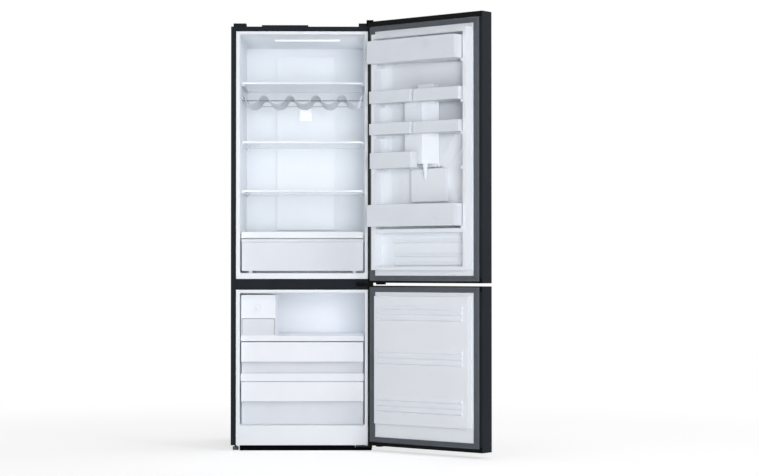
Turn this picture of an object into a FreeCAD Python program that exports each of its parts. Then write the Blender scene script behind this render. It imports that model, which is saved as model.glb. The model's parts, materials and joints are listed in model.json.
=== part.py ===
import FreeCAD, Part
import math
import os
import re

# Two-door refrigerator with the freezer below, doors hinged on the right and standing open.
# The origin is on the floor at mid-width, in the plane of the cabinet's front.
# +X is to the right, +Y towards the back, +Z up. All lengths are in millimetres.

SIZES = {
    # cabinet
    "cabinet_width": 595,
    "cabinet_depth": 600,
    "cabinet_top": 1770,
    "cabinet_bottom": 22,
    "sheet_metal": 1,
    "base_metal": 2,
    "frame_side": 21.6,
    "frame_top": 20.3,
    "mullion_height": 45.5,
    "mullion_bottom": 669.7,
    "liner_wall": 2,
    "side_wall": 36.5,
    "back_wall": 52,
    "ceiling_wall": 33,
    "fridge_floor_rise": 24.8,
    "freezer_ceiling_drop": 13.7,
    "freezer_floor": 105,
    "step_wall": 12,
    "freezer_step_top": 260,
    "machine_room_depth": 243,
    "step_roof": 10,
    "cut_overrun": 5,
    # rear glides, front feet and the plinth strip
    "glide_radius": 15,
    "glide_inset": 47.5,
    "glide_from_back": 40,
    "foot_radius": 12.5,
    "foot_height": 14,
    "foot_stem_radius": 5,
    "foot_inset": 18.5,
    "foot_setback": 40,
    "stem_clearance": 0.05,
    "kick_setback": 6,
    "kick_thickness": 2,
    "kick_floor_gap": 2,
    "kick_inset": 37,
    "kick_hinge_inset": 7.5,
    "kick_hinge_gap": 1,
    # louvres and the mains inlet in the back panel
    "louvre_height": 6,
    "louvre_pitch": 22,
    "louvre_side_margin": 90,
    "louvre_first": 70,
    "inlet_width": 48,
    "inlet_height": 32,
    "inlet_depth": 26,
    "inlet_wall": 3,
    "inlet_from_side": 45,
    "inlet_low": 160,
    # wiring bump and hinge covers on the top
    "wire_bump_left": 170,
    "wire_bump_right": 24,
    "wire_bump_front": 20,
    "wire_bump_depth": 70,
    "wire_bump_height": 8.5,
    "blank_width": 54,
    "blank_side_gap": 9.5,
    "blank_front": 8,
    "blank_depth": 44,
    "blank_height": 14.3,
    "hinge_cover_width": 62,
    "hinge_cover_front": 6,
    "hinge_cover_depth": 56,
    "hinge_cover_height": 14.4,
    "hinge_hood_width": 29,
    "hinge_hood_depth": 34,
    "hinge_hood_overhang": 26,
    "hinge_hood_wall": 2.5,
    "cover_wall": 2.5,
    # hinges
    "hinge_inset": 12,
    "hinge_forward": 13,
    "pin_radius": 4,
    "pin_clearance": 0.05,
    "pin_depth": 14,
    "pin_hole_spare": 2,
    "hinge_plate": 3,
    "hinge_arm_width": 20,
    "hinge_arm_nose": 10,
    "hinge_arm_side_gap": 5,
    "top_hinge_foot_width": 50,
    "top_hinge_foot_depth": 44,
    "top_hinge_foot_front": 12,
    "top_hinge_gap": 1,
    "middle_hinge_plate_width": 39,
    "middle_hinge_plate_height": 18,
    "middle_hinge_plate_inset": 72.5,
    "middle_hinge_arm_thickness": 5,
    "bottom_hinge_pad_inset": 75.5,
    "bottom_hinge_pad_width": 42,
    "bottom_hinge_pad_front": 5,
    "bottom_hinge_pad_depth": 50,
    "bottom_hinge_arm_thickness": 5,
    "bottom_hinge_arm_back": 24,
    "bottom_hinge_drop": 8,
    # doors
    "door_open_angle": 140,
    "door_thickness": 63,
    "gasket_thickness": 7,
    "gasket_side_inset": 14,
    "gasket_side_width": 28,
    "gasket_end_width": 22,
    "door_cap": 22,
    "door_stile": 24,
    "skin_return": 24,
    "door_lip_inset": 2.5,
    "relief_depth": 15.6,
    "relief_from_axis": 17,
    "relief_length": 40,
    "door_gap": 12,
    "door_top_rise": 18,
    "fridge_gasket_top_inset": 22.5,
    "fridge_gasket_bottom_inset": 8,
    "door_bottom_rise": 1,
    "freezer_door_overlap": 17.3,
    "freezer_gasket_top_inset": 4,
    "freezer_gasket_bottom_inset": 15,
    # fridge door liner
    "dyke_inset": 52.5,
    "dyke_reach": 32,
    "dyke_width": 16,
    "dyke_floor_gap": 12,
    "dyke_ceiling_gap": 10,
    "recess_depth": 42,
    "dyke_end_width": 19,
    "ledge_height": 15,
    "lower_recess_height": 139,
    "dyke_sill": 14,
    "lower_recess_depth": 20,
    "lower_rib_depth": 6,
    "lower_rib_height": 5,
    "bulge_left": 99.5,
    "bulge_width": 170,
    "bulge_gap": 12,
    "bulge_height": 133,
    "bulge_depth": 27,
    # door bins
    "bin_wall": 2.5,
    "bin_hanger_gap": 1,
    "bin_back_gap": 1,
    "bin_reach": 87,
    "bin_half_reach": 58,
    "bin_deep_half_reach": 71,
    "bin_split": 9,
    "bin_split_gap": 1,
    "tank_notch_gap": 5,
    "half_bin_reach": 67,
    "bin_lug_height": 12,
    "bin_lug_depth": 10,
    # water tank and dispenser
    "tank_left": 57.5,
    "tank_width": 150,
    "tank_seat_rise": 21,
    "tank_reach": 12,
    "tank_corner": 46,
    "tank_back_gap": 0.5,
    "tank_wall": 2.5,
    "tank_neck_width": 76,
    "tank_neck_depth": 40,
    "tank_neck_height": 40,
    "tank_neck_from_left": 3,
    "tank_lid_height": 18,
    "tank_lid_overhang": 2,
    "valve_radius": 11,
    "valve_tip_radius": 5,
    "valve_length": 62,
    "valve_from_left": 43,
    "valve_front_gap": 12,
    "niche_half_width": 70,
    "niche_sill": 5,
    "niche_head": 6,
    "niche_depth": 50,
    "niche_wall": 2,
    "lever_half_width": 22,
    "lever_height": 70,
    "lever_thickness": 4,
    "lever_pin_radius": 2,
    "lever_pin_clearance": 0.05,
    "lever_setback": 20,
    "lever_top_gap": 8,
    # freezer door liner
    "plateau_inset": 55.5,
    "plateau_reach": 20,
    "plateau_floor_gap": 13,
    "plateau_ceiling_gap": 11,
    "plateau_rib_height": 6,
    "plateau_rib_depth": 4,
    "plateau_rib_side_margin": 24,
    # fridge interior
    "lamp_half_width": 142,
    "lamp_offset": 16,
    "lamp_front": 178,
    "lamp_depth": 76,
    "lamp_thickness": 3,
    "duct_half_width": 127,
    "duct_depth": 14,
    "duct_bottom_gap": 19,
    "duct_top_gap": 37,
    "duct_wall": 3,
    "duct_edge": 8,
    "vent_depth": 7,
    "vent_height": 40,
    "filter_side": 53,
    "filter_drop": 286,
    "filter_thickness": 5,
    "shelf_side_gap": 5,
    "shelf_front": 100,
    "shelf_rear_gap": 28,
    "shelf_glass": 4,
    "shelf_trim_depth": 14,
    "shelf_trim_height": 6,
    "shelf_lip": 2,
    "shelf_rear_inset": 12,
    "shelf_rear_trim": 10,
    "shelf_rib_width": 12,
    "shelf_rib_height": 7,
    "shelf_rib_start": 122,
    "shelf_rib_end_gap": 15,
    "rack_side_gap": 2,
    "rack_drop": 36,
    "rack_sheet": 2.5,
    "rack_end_span": 35,
    "rack_depth": 320,
    "rack_flange": 4,
    "rack_rod_radius": 2,
    "rack_rod_drop": 23,
    "rack_rod_setback": 6,
    "crisper_cover_gap": 29,
    "crisper_cover_front": 50,
    "crisper_cover_trim_height": 25,
    "crisper_side_gap": 6,
    "crisper_front": 46,
    "crisper_depth": 354,
    "crisper_height": 134,
    "crisper_floor_gap": 8,
    "crisper_wall": 2.5,
    "crisper_runner_width": 14,
    "crisper_runner_inset": 30,
    "crisper_grip_height": 14,
    "crisper_grip_depth": 8,
    # freezer interior
    "freezer_shelf_side_gap": 3,
    "freezer_shelf_front": 40,
    "freezer_shelf_rear_gap": 2,
    "freezer_shelf_plate": 8,
    "freezer_shelf_trim_depth": 12,
    "freezer_rib_width": 10,
    "freezer_rib_height": 8,
    "freezer_rib_start": 60,
    "upper_freezer_shelf_trim": 22,
    "lower_freezer_shelf_trim": 34,
    "drawer_side_gap": 5,
    "drawer_wall": 3,
    "drawer_front": 56,
    "drawer_front_thickness": 6,
    "upper_drawer_top_gap": 26,
    "upper_drawer_back_gap": 18,
    "lower_drawer_top_gap": 36,
    "lower_drawer_back_gap": 9,
    "drawer_grip_height": 82,
    "drawer_grip_depth": 21,
    "ice_maker_half_width": 72,
    "ice_maker_side_gap": 4,
    "ice_maker_front": 50,
    "ice_maker_depth": 240,
    "ice_maker_top_gap": 8,
    "ice_maker_wall": 3,
    "ice_box_gap": 1.5,
    "ice_box_wall": 2.5,
    "ice_knob_radius": 11,
    "ice_knob_height": 12,
    "ice_shaft_radius": 3,
    "ice_shaft_clearance": 0.05,
    "ice_tray_half_width": 42,
    "ice_tray_height": 22,
    "ice_tray_drop": 6,
    # cold wall and cooling
    "cold_space_depth": 60,
    "cold_wall_thickness": 2,
    "cold_wall_gap": 1,
    "fan_drop": 90,
    "air_slot_half_width": 90,
    "air_slot_height": 7,
    "fan_radius": 56,
    "fan_hub_radius": 16,
    "fan_hub_length": 16,
    "fan_blade_thickness": 3,
    "fan_shaft_radius": 2,
    "fan_shaft_clearance": 0.04,
    "fan_motor_radius": 26,
    "fan_motor_gap": 8,
    "fan_front_gap": 6,
    "evaporator_side_gap": 51,
    "evaporator_depth": 46,
    "evaporator_fan_gap": 96,
    "evaporator_fin": 1.2,
    "evaporator_fin_pitch": 30,
    "evaporator_tube_radius": 4,
    "compressor_radius": 66,
    "compressor_height": 118,
    "compressor_crown": 24,
    "compressor_side": 120,
    "compressor_from_back": 108,
    "compressor_foot_height": 16,
    "compressor_foot_radius": 9,
    "compressor_plate_half": 78,
    "compressor_plate_thickness": 3,
}

DUCT_VENT_SHARES = (0.1, 0.34, 0.58, 0.82)
LOWER_RIB_SHARES = (0.05, 0.31, 0.72)
PLATEAU_RIB_SHARES = (0.106, 0.148, 0.191, 0.477, 0.523, 0.565, 0.817, 0.863, 0.901)
LOUVRE_COUNT = 5
FAN_BLADES = 5
RACK_BAYS = 5
RACK_CRADLE_SHARE = 0.65
AIR_SLOT_SHARES = (0.2, 0.45, 0.7)
EVAPORATOR_TUBE_SHARES = (0.25, 0.44, 0.63)
SHELF_LEVEL_SHARES = {"top_shelf": 0.80642, "rack": 0.75326, "middle_shelf": 0.55667, "lower_shelf": 0.34905}
FREEZER_LEVEL_SHARES = {"upper_freezer_shelf": 0.67332, "lower_freezer_shelf": 0.3902}
ICE_MAKER_SHARES = {"ice_box_top": 0.42442, "ice_knob_level": 0.70349}
BIN_LEVEL_SHARES = {
    "top_bin": (0.86294, 0.98096),
    "upper_bin": (0.65609, 0.71954),
    "lower_bin": (0.49239, 0.55076),
    "half_bin": (0.31599, 0.39721),
    "bottle_bin": (0.01269, 0.12563),
}
TANK_HEIGHT_SHARE = 0.51052

# Lengths that follow from the sizes above
WORKED_OUT = {
    "interior_half_width": "cabinet_width / 2 - side_wall",
    "interior_back": "cabinet_depth - back_wall",
    "mullion_top": "mullion_bottom + mullion_height",
    "fridge_floor": "mullion_top + fridge_floor_rise",
    "fridge_ceiling": "cabinet_top - ceiling_wall",
    "freezer_ceiling": "mullion_bottom - freezer_ceiling_drop",
    "machine_room_front": "cabinet_depth - machine_room_depth",
    "machine_room_top": "freezer_step_top - step_roof",
    "freezer_step_back": "machine_room_front - step_wall",
    "middle_hinge_plate_inner": "cabinet_width / 2 - middle_hinge_plate_inset",
    "bottom_hinge_pad_inner": "cabinet_width / 2 - bottom_hinge_pad_inset",
    "fridge_door_top": "cabinet_top + door_top_rise",
    "freezer_door_top": "mullion_bottom + freezer_door_overlap",
    "fridge_door_bottom": "freezer_door_top + door_gap",
    "freezer_door_bottom": "cabinet_bottom + door_bottom_rise",
    "dyke_half_width": "cabinet_width / 2 - dyke_inset",
    "dyke_bottom": "fridge_floor + dyke_floor_gap",
    "dyke_top": "fridge_ceiling - dyke_ceiling_gap",
    "recess_top": "dyke_top - dyke_end_width",
    "lower_recess_bottom": "dyke_bottom + dyke_sill",
    "ledge_bottom": "lower_recess_bottom + lower_recess_height",
    "ledge_top": "ledge_bottom + ledge_height",
    "bulge_bottom": "bottle_bin_top + bulge_gap",
    "bulge_top": "bulge_bottom + bulge_height",
    "niche_bottom": "bulge_bottom + niche_sill",
    "niche_top": "bulge_top - niche_head",
    "tank_bottom": "bulge_top + tank_seat_rise",
    "tank_top": f"tank_bottom + (recess_top - tank_bottom) * {TANK_HEIGHT_SHARE}",
    "tank_neck_top": "tank_top + tank_neck_height",
    "plateau_half_width": "cabinet_width / 2 - plateau_inset",
    "plateau_bottom": "freezer_floor + plateau_floor_gap",
    "plateau_top": "freezer_ceiling - plateau_ceiling_gap",
    "duct_bottom": "crisper_cover_level + duct_bottom_gap",
    "duct_top": "fridge_ceiling - duct_top_gap",
    "filter_low": "duct_top - filter_drop",
    "shelf_half_width": "interior_half_width - shelf_side_gap",
    "shelf_rear": "interior_back - shelf_rear_gap",
    "shelf_rear_half_width": "shelf_half_width - shelf_rear_inset",
    "shelf_rib_end": "shelf_rear - shelf_rib_end_gap",
    "rack_half_width": "interior_half_width - rack_side_gap - rack_flange",
    "rack_pitch": f"(rack_half_width - rack_end_span) * 2 / {RACK_BAYS - 1}",
    "crisper_half_width": "interior_half_width - crisper_side_gap",
    "crisper_back": "crisper_front + crisper_depth",
    "crisper_bottom": "fridge_floor + crisper_floor_gap",
    "crisper_top": "crisper_bottom + crisper_height",
    "crisper_cover_level": "crisper_top + crisper_cover_gap",
    "freezer_shelf_half_width": "interior_half_width - freezer_shelf_side_gap",
    "freezer_shelf_rear": "cold_wall_front - freezer_shelf_rear_gap",
    "drawer_half_width": "interior_half_width - drawer_side_gap",
    "upper_drawer_top": "upper_freezer_shelf_level - upper_drawer_top_gap",
    "upper_drawer_back": "cold_wall_front - upper_drawer_back_gap",
    "lower_drawer_top": "lower_freezer_shelf_level - lower_drawer_top_gap",
    "lower_drawer_back": "freezer_step_back - lower_drawer_back_gap",
    "ice_maker_back": "ice_maker_front + ice_maker_depth",
    "ice_maker_top": "freezer_ceiling - ice_maker_top_gap",
    "cold_wall_front": "interior_back - cold_space_depth",
    "fan_level": "freezer_ceiling - fan_drop",
    "evaporator_half_width": "interior_half_width - evaporator_side_gap",
    "evaporator_top": "fan_level - evaporator_fan_gap",
}
for thing, share in SHELF_LEVEL_SHARES.items():
    WORKED_OUT[f"{thing}_level"] = f"fridge_floor + (fridge_ceiling - fridge_floor) * {share}"
for thing, share in FREEZER_LEVEL_SHARES.items():
    WORKED_OUT[f"{thing}_level"] = f"freezer_floor + (freezer_ceiling - freezer_floor) * {share}"
for thing, share in ICE_MAKER_SHARES.items():
    rise = f"(ice_maker_top - upper_freezer_shelf_level) * {share}"
    WORKED_OUT[thing] = f"upper_freezer_shelf_level + {rise}"
for thing, shares in BIN_LEVEL_SHARES.items():
    for end, share in zip(("bottom", "top"), shares):
        WORKED_OUT[f"{thing}_{end}"] = f"ledge_top + (recess_top - ledge_top) * {share}"

doc = FreeCAD.newDocument("refrigerator")
sheet = doc.addObject("Spreadsheet::Sheet", "sizes")
for row, (size_name, size_value) in enumerate(SIZES.items(), start=1):
    sheet.set(f"A{row}", size_name)
    sheet.set(f"B{row}", str(size_value))
    sheet.setAlias(f"B{row}", size_name)
doc.recompute()

ALIAS = re.compile(r"[a-z]+(?:_[a-z]+)+")
sub_parts = []


def spelled_out(length):
    """A sum of named sizes, with every worked-out length in it given by its own sum."""
    def cell(word):
        name = word.group(0)
        return f"({spelled_out(WORKED_OUT[name])})" if name in WORKED_OUT else f"sizes.{name}"
    return ALIAS.sub(cell, length)


def bind(item, prop, length):
    """Ties one property to a sum of named sizes."""
    item.setExpression(prop, spelled_out(length))


gauge = doc.addObject("App::FeaturePython", "gauge")
gauge.addProperty("App::PropertyFloat", "Reading")


def size(length):
    """The number that a sum of named sizes comes to."""
    bind(gauge, "Reading", length)
    gauge.recompute()
    return gauge.Reading


def new_part(label):
    body = doc.addObject("PartDesign::Body", label)
    body.Label = label
    sub_parts.append(body)
    return body


def block(body, kind, x, y, z):
    """A block between the low and high ends given for each axis."""
    feature = body.newObject(f"PartDesign::{kind}Box", f"{body.Name}_block")
    for prop, axis, (low, high) in zip(("Length", "Width", "Height"), "xyz", (x, y, z)):
        bind(feature, prop, f"({high}) - ({low})")
        bind(feature, f"Placement.Base.{axis}", low)
    return feature


def add(body, x, y, z):
    return block(body, "Additive", x, y, z)


def cut(body, x, y, z):
    return block(body, "Subtractive", x, y, z)


TURN_TO_AXIS = {
    "x": FreeCAD.Rotation(FreeCAD.Vector(0, 1, 0), 90),
    "y": FreeCAD.Rotation(FreeCAD.Vector(1, 0, 0), -90),
    "z": FreeCAD.Rotation(),
}


def round_bar(body, kind, axis, centre, span, radius, tip_radius=None):
    """A cylinder along an axis, or a cone where the radius at its far end is given too."""
    shape = "Cylinder" if tip_radius is None else "Cone"
    feature = body.newObject(f"PartDesign::{kind}{shape}", f"{body.Name}_round")
    feature.Placement = FreeCAD.Placement(FreeCAD.Vector(), TURN_TO_AXIS[axis])
    if tip_radius is None:
        bind(feature, "Radius", radius)
    else:
        bind(feature, "Radius1", radius)
        bind(feature, "Radius2", tip_radius)
    low, high = span
    bind(feature, "Height", f"({high}) - ({low})")
    across = iter(centre)
    for name in "xyz":
        bind(feature, f"Placement.Base.{name}", low if name == axis else next(across))
    return feature


def add_round(body, axis, centre, span, radius, tip_radius=None):
    return round_bar(body, "Additive", axis, centre, span, radius, tip_radius)


def cut_round(body, axis, centre, span, radius):
    return round_bar(body, "Subtractive", axis, centre, span, radius)


def fillet(body, feature, radius, picks):
    """Rounds the edges of a feature whose middle point the given test picks."""
    doc.recompute()
    edges = []
    for number, edge in enumerate(feature.Shape.Edges, start=1):
        middle = edge.valueAt((edge.FirstParameter + edge.LastParameter) / 2)
        if picks(edge, middle):
            edges.append(f"Edge{number}")
    rounded = body.newObject("PartDesign::Fillet", f"{body.Name}_fillet")
    rounded.Base = (feature, edges)
    bind(rounded, "Radius", radius)
    return rounded


def sided(side, low, high):
    """A span across the width, mirrored about the middle for the left side."""
    return (low, high) if side > 0 else (f"-({high})", f"-({low})")


# Lengths that several pieces share
HALF = "(cabinet_width / 2)"
IN_HALF = f"({HALF} - sheet_metal)"
FLANGE_BACK = "(sheet_metal + liner_wall)"
BACK_INSIDE = "(cabinet_depth - sheet_metal)"
TOP_INSIDE = "(cabinet_top - sheet_metal)"
BASE_TOP = "(cabinet_bottom + base_metal)"
SPLIT = "((mullion_top + mullion_bottom) / 2)"
HINGE_X = f"({HALF} - hinge_inset)"
HINGE_Y = "(-hinge_forward)"
FOOT_X = f"({HALF} - foot_inset)"
HINGE_ARM = (f"({HALF} - hinge_arm_side_gap - hinge_arm_width)", f"({HALF} - hinge_arm_side_gap)")
ARM_NOSE = f"({HINGE_Y} - hinge_arm_nose)"
TOP_ARM_LOW = "(fridge_door_top + top_hinge_gap)"
TOP_ARM_HIGH = f"({TOP_ARM_LOW} + hinge_plate)"
DOOR_GAP_MIDDLE = "((fridge_door_bottom + freezer_door_top) / 2)"
MIDDLE_ARM_LOW = f"({DOOR_GAP_MIDDLE} - middle_hinge_arm_thickness / 2)"
MIDDLE_ARM_HIGH = f"({DOOR_GAP_MIDDLE} + middle_hinge_arm_thickness / 2)"
BOTTOM_ARM_LOW = "(cabinet_bottom - bottom_hinge_drop)"
BOTTOM_ARM_HIGH = f"({BOTTOM_ARM_LOW} + bottom_hinge_arm_thickness)"
FULL_WIDTH = (f"-{IN_HALF}", IN_HALF)
INTERIOR = ("-interior_half_width", "interior_half_width")
TUB = ("-(interior_half_width + liner_wall)", "interior_half_width + liner_wall")


# Cabinet shell

def side_panel(label, side):
    body = new_part(label)
    height = ("cabinet_bottom", "cabinet_top")
    add(body, sided(side, IN_HALF, HALF), ("0", "cabinet_depth"), height)
    add(body, sided(side, f"{HALF} - frame_side", HALF), ("0", "sheet_metal"), height)


def top_panel():
    body = new_part("top_panel")
    add(body, FULL_WIDTH, ("sheet_metal", "cabinet_depth"), (TOP_INSIDE, "cabinet_top"))
    between = (f"frame_side - {HALF}", f"{HALF} - frame_side")
    add(body, between, ("0", "sheet_metal"), ("cabinet_top - frame_top", "cabinet_top"))
    add(body, ("-wire_bump_left", "wire_bump_right"),
        ("wire_bump_front", "wire_bump_front + wire_bump_depth"),
        (TOP_INSIDE, "cabinet_top + wire_bump_height"))


def back_panel():
    body = new_part("back_panel")
    add(body, FULL_WIDTH, (BACK_INSIDE, "cabinet_depth"), (BASE_TOP, TOP_INSIDE))
    slot = (f"louvre_side_margin - {HALF}", f"{HALF} - louvre_side_margin")
    for number in range(LOUVRE_COUNT):
        low = f"(louvre_first + louvre_pitch * {number})"
        cut(body, slot, (f"{BACK_INSIDE} - cut_overrun", "cabinet_depth + cut_overrun"),
            (low, f"{low} + louvre_height"))
    right = f"({HALF} - inlet_from_side)"
    cut(body, (f"{right} - inlet_width", right),
        (f"{BACK_INSIDE} - cut_overrun", "cabinet_depth + cut_overrun"),
        ("inlet_low", "inlet_low + inlet_height"))


def power_inlet():
    body = new_part("power_inlet")
    right = f"({HALF} - inlet_from_side)"
    wide = (f"{right} - inlet_width", right)
    tall = ("inlet_low", "inlet_low + inlet_height")
    add(body, wide, ("cabinet_depth - inlet_depth", "cabinet_depth"), tall)
    cut(body, (f"{right} - inlet_width + inlet_wall", f"{right} - inlet_wall"),
        ("cabinet_depth - inlet_depth + inlet_wall", "cabinet_depth + cut_overrun"),
        ("inlet_low + inlet_wall", "inlet_low + inlet_height - inlet_wall"))


def base_plate():
    body = new_part("base_plate")
    add(body, FULL_WIDTH, (FLANGE_BACK, "cabinet_depth"), ("cabinet_bottom", BASE_TOP))
    add(body, FULL_WIDTH, ("machine_room_front", "machine_room_front + base_metal"),
        ("cabinet_bottom", "machine_room_top"))
    add(body, FULL_WIDTH, ("machine_room_front", BACK_INSIDE),
        ("machine_room_top - base_metal", "machine_room_top"))
    for side in (1, -1):
        sign = "" if side > 0 else "-"
        add_round(body, "z", (f"{sign}({HALF} - glide_inset)", "cabinet_depth - glide_from_back"),
                  ("0", BASE_TOP), "glide_radius")
        cut_round(body, "z", (f"{sign}{FOOT_X}", "foot_setback"),
                  ("cabinet_bottom - cut_overrun", f"{BASE_TOP} + cut_overrun"),
                  "foot_stem_radius + stem_clearance")


def mullion_cover():
    body = new_part("mullion_cover")
    add(body, (f"frame_side - {HALF}", f"{HALF} - frame_side"), ("0", "sheet_metal"),
        ("mullion_bottom", "mullion_top"))


def kick_plate():
    body = new_part("kick_plate")
    deep = ("kick_setback", "kick_setback + kick_thickness")
    right = f"({HALF} - kick_hinge_inset)"
    add(body, (f"kick_inset - {HALF}", right), deep, ("kick_floor_gap", "cabinet_bottom"))
    cut(body, ("bottom_hinge_pad_inner - kick_hinge_gap", f"{right} + cut_overrun"),
        ("kick_setback - cut_overrun", "kick_setback + kick_thickness + cut_overrun"),
        (f"{BOTTOM_ARM_LOW} - kick_hinge_gap", "cabinet_bottom + cut_overrun"))


def front_foot(label, side):
    body = new_part(label)
    sign = "" if side > 0 else "-"
    centre = (f"{sign}{FOOT_X}", "foot_setback")
    add_round(body, "z", centre, ("0", "foot_height"), "foot_radius")
    add_round(body, "z", centre, ("0", BASE_TOP), "foot_stem_radius")


SHELF_LEVELS = {
    "top_glass_shelf": "top_shelf_level",
    "middle_glass_shelf": "middle_shelf_level",
    "lower_glass_shelf": "lower_shelf_level",
}
FRIDGE_RIB_TOPS = [f"{level} - shelf_glass" for level in SHELF_LEVELS.values()]
FRIDGE_RIB_TOPS.append("crisper_cover_level - shelf_glass")
FREEZER_SHELF_LEVELS = {
    "upper_freezer_shelf": "upper_freezer_shelf_level",
    "lower_freezer_shelf": "lower_freezer_shelf_level",
}


def fridge_liner():
    body = new_part("fridge_liner")
    add(body, FULL_WIDTH, ("sheet_metal", FLANGE_BACK), (SPLIT, TOP_INSIDE))
    add(body, TUB, ("sheet_metal", "interior_back + liner_wall"),
        ("fridge_floor - liner_wall", "fridge_ceiling + liner_wall"))
    cut(body, INTERIOR, ("0", "interior_back"), ("fridge_floor", "fridge_ceiling"))
    for top in FRIDGE_RIB_TOPS:
        for side in (1, -1):
            add(body, sided(side, "interior_half_width - shelf_rib_width",
                            "interior_half_width + liner_wall"),
                ("shelf_rib_start", "shelf_rib_end"), (f"{top} - shelf_rib_height", top))
    rack_seat = "(rack_level - rack_sheet)"
    for side in (1, -1):
        add(body, sided(side, "rack_half_width", "interior_half_width + liner_wall"),
            ("shelf_rib_start", "shelf_rib_end"), (f"{rack_seat} - shelf_rib_height", rack_seat))


def freezer_liner():
    body = new_part("freezer_liner")
    add(body, FULL_WIDTH, ("sheet_metal", FLANGE_BACK), ("cabinet_bottom", SPLIT))
    add(body, TUB, ("sheet_metal", "interior_back + liner_wall"),
        ("freezer_step_top - liner_wall", "freezer_ceiling + liner_wall"))
    add(body, TUB, ("sheet_metal", "freezer_step_back + liner_wall"),
        ("freezer_floor - liner_wall", "freezer_step_top"))
    cut(body, INTERIOR, ("0", "interior_back"), ("freezer_step_top", "freezer_ceiling"))
    cut(body, INTERIOR, ("0", "freezer_step_back"), ("freezer_floor", "freezer_step_top + cut_overrun"))
    for level in FREEZER_SHELF_LEVELS.values():
        top = f"({level} - freezer_shelf_plate)"
        for side in (1, -1):
            add(body, sided(side, "interior_half_width - freezer_rib_width",
                            "interior_half_width + liner_wall"),
                ("freezer_rib_start", "freezer_shelf_rear"), (f"{top} - freezer_rib_height", top))


def cabinet_foam():
    body = new_part("cabinet_foam")
    add(body, FULL_WIDTH, (FLANGE_BACK, BACK_INSIDE), (BASE_TOP, TOP_INSIDE))
    cut(body, TUB, ("0", "interior_back + liner_wall"),
        ("fridge_floor - liner_wall", "fridge_ceiling + liner_wall"))
    cut(body, TUB, ("0", "interior_back + liner_wall"),
        ("freezer_step_top - liner_wall", "freezer_ceiling + liner_wall"))
    cut(body, TUB, ("0", "freezer_step_back + liner_wall"),
        ("freezer_floor - liner_wall", "freezer_step_top"))
    cut(body, (f"-{HALF}", HALF), ("machine_room_front", "cabinet_depth"),
        ("0", "machine_room_top"))


# Hinges and covers on the cabinet

def top_hinge():
    body = new_part("top_hinge")
    back = "(top_hinge_foot_front + hinge_plate)"
    add(body, (f"{HINGE_ARM[1]} - top_hinge_foot_width", HINGE_ARM[1]),
        ("top_hinge_foot_front", "top_hinge_foot_front + top_hinge_foot_depth"),
        ("cabinet_top", "cabinet_top + hinge_plate"))
    add(body, HINGE_ARM, ("top_hinge_foot_front", back), ("cabinet_top", TOP_ARM_HIGH))
    add(body, HINGE_ARM, (ARM_NOSE, back), (TOP_ARM_LOW, TOP_ARM_HIGH))
    add_round(body, "z", (HINGE_X, HINGE_Y), ("fridge_door_top - pin_depth", TOP_ARM_HIGH), "pin_radius")


def top_hinge_cover():
    body = new_part("top_hinge_cover")
    low_top = "(cabinet_top + hinge_cover_height)"
    hood_top = f"({TOP_ARM_HIGH} + hinge_hood_wall)"
    wide = (f"{HALF} - hinge_cover_width", HALF)
    hood = (f"{HALF} - hinge_hood_width", HALF)
    hood_front = "(hinge_cover_front - cover_wall)"
    add(body, wide, ("hinge_cover_front", "hinge_cover_front + hinge_cover_depth"),
        ("cabinet_top", low_top))
    add(body, hood, (hood_front, f"{hood_front} + hinge_hood_depth"), ("cabinet_top", hood_top))
    add(body, hood, ("-hinge_hood_overhang", f"{hood_front} + cover_wall"), (TOP_ARM_LOW, hood_top))
    cut(body, (f"{HALF} - hinge_cover_width + cover_wall", f"{HALF} - cover_wall"),
        ("hinge_cover_front + cover_wall", "hinge_cover_front + hinge_cover_depth - cover_wall"),
        ("cabinet_top - cut_overrun", f"{low_top} - cover_wall"))
    cut(body, (f"{HALF} - hinge_hood_width + cover_wall", f"{HALF} - cover_wall"),
        ("-hinge_hood_overhang - cut_overrun", f"{hood_front} + hinge_hood_depth - cover_wall"),
        ("cabinet_top - cut_overrun", TOP_ARM_HIGH))


def blanking_cover():
    body = new_part("blanking_cover")
    left = f"(blank_side_gap - {HALF})"
    add(body, (left, f"{left} + blank_width"), ("blank_front", "blank_front + blank_depth"),
        ("cabinet_top", "cabinet_top + blank_height"))


def middle_hinge():
    body = new_part("middle_hinge")
    half_height = "(middle_hinge_plate_height / 2)"
    add(body, ("middle_hinge_plate_inner", "middle_hinge_plate_inner + middle_hinge_plate_width"),
        ("-hinge_plate", "0"),
        (f"{DOOR_GAP_MIDDLE} - {half_height}", f"{DOOR_GAP_MIDDLE} + {half_height}"))
    add(body, ("middle_hinge_plate_inner", HINGE_ARM[1]), (ARM_NOSE, "0"),
        (MIDDLE_ARM_LOW, MIDDLE_ARM_HIGH))
    add_round(body, "z", (HINGE_X, HINGE_Y),
              ("freezer_door_top - pin_depth", "fridge_door_bottom + pin_depth"), "pin_radius")


def bottom_hinge():
    body = new_part("bottom_hinge")
    pad_outer = "bottom_hinge_pad_inner + bottom_hinge_pad_width"
    add(body, ("bottom_hinge_pad_inner", pad_outer),
        ("bottom_hinge_pad_front", "bottom_hinge_pad_front + bottom_hinge_pad_depth"),
        (BOTTOM_ARM_LOW, "cabinet_bottom"))
    add(body, ("bottom_hinge_pad_inner", HINGE_ARM[1]), (ARM_NOSE, "bottom_hinge_arm_back"),
        (BOTTOM_ARM_LOW, BOTTOM_ARM_HIGH))
    add_round(body, "z", (HINGE_X, HINGE_Y), (BOTTOM_ARM_LOW, "freezer_door_bottom + pin_depth"),
              "pin_radius")


# Fridge compartment

def lamp_lens():
    body = new_part("lamp_lens")
    add(body, ("lamp_offset - lamp_half_width", "lamp_offset + lamp_half_width"),
        ("lamp_front", "lamp_front + lamp_depth"),
        ("fridge_ceiling - lamp_thickness", "fridge_ceiling"))


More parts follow.
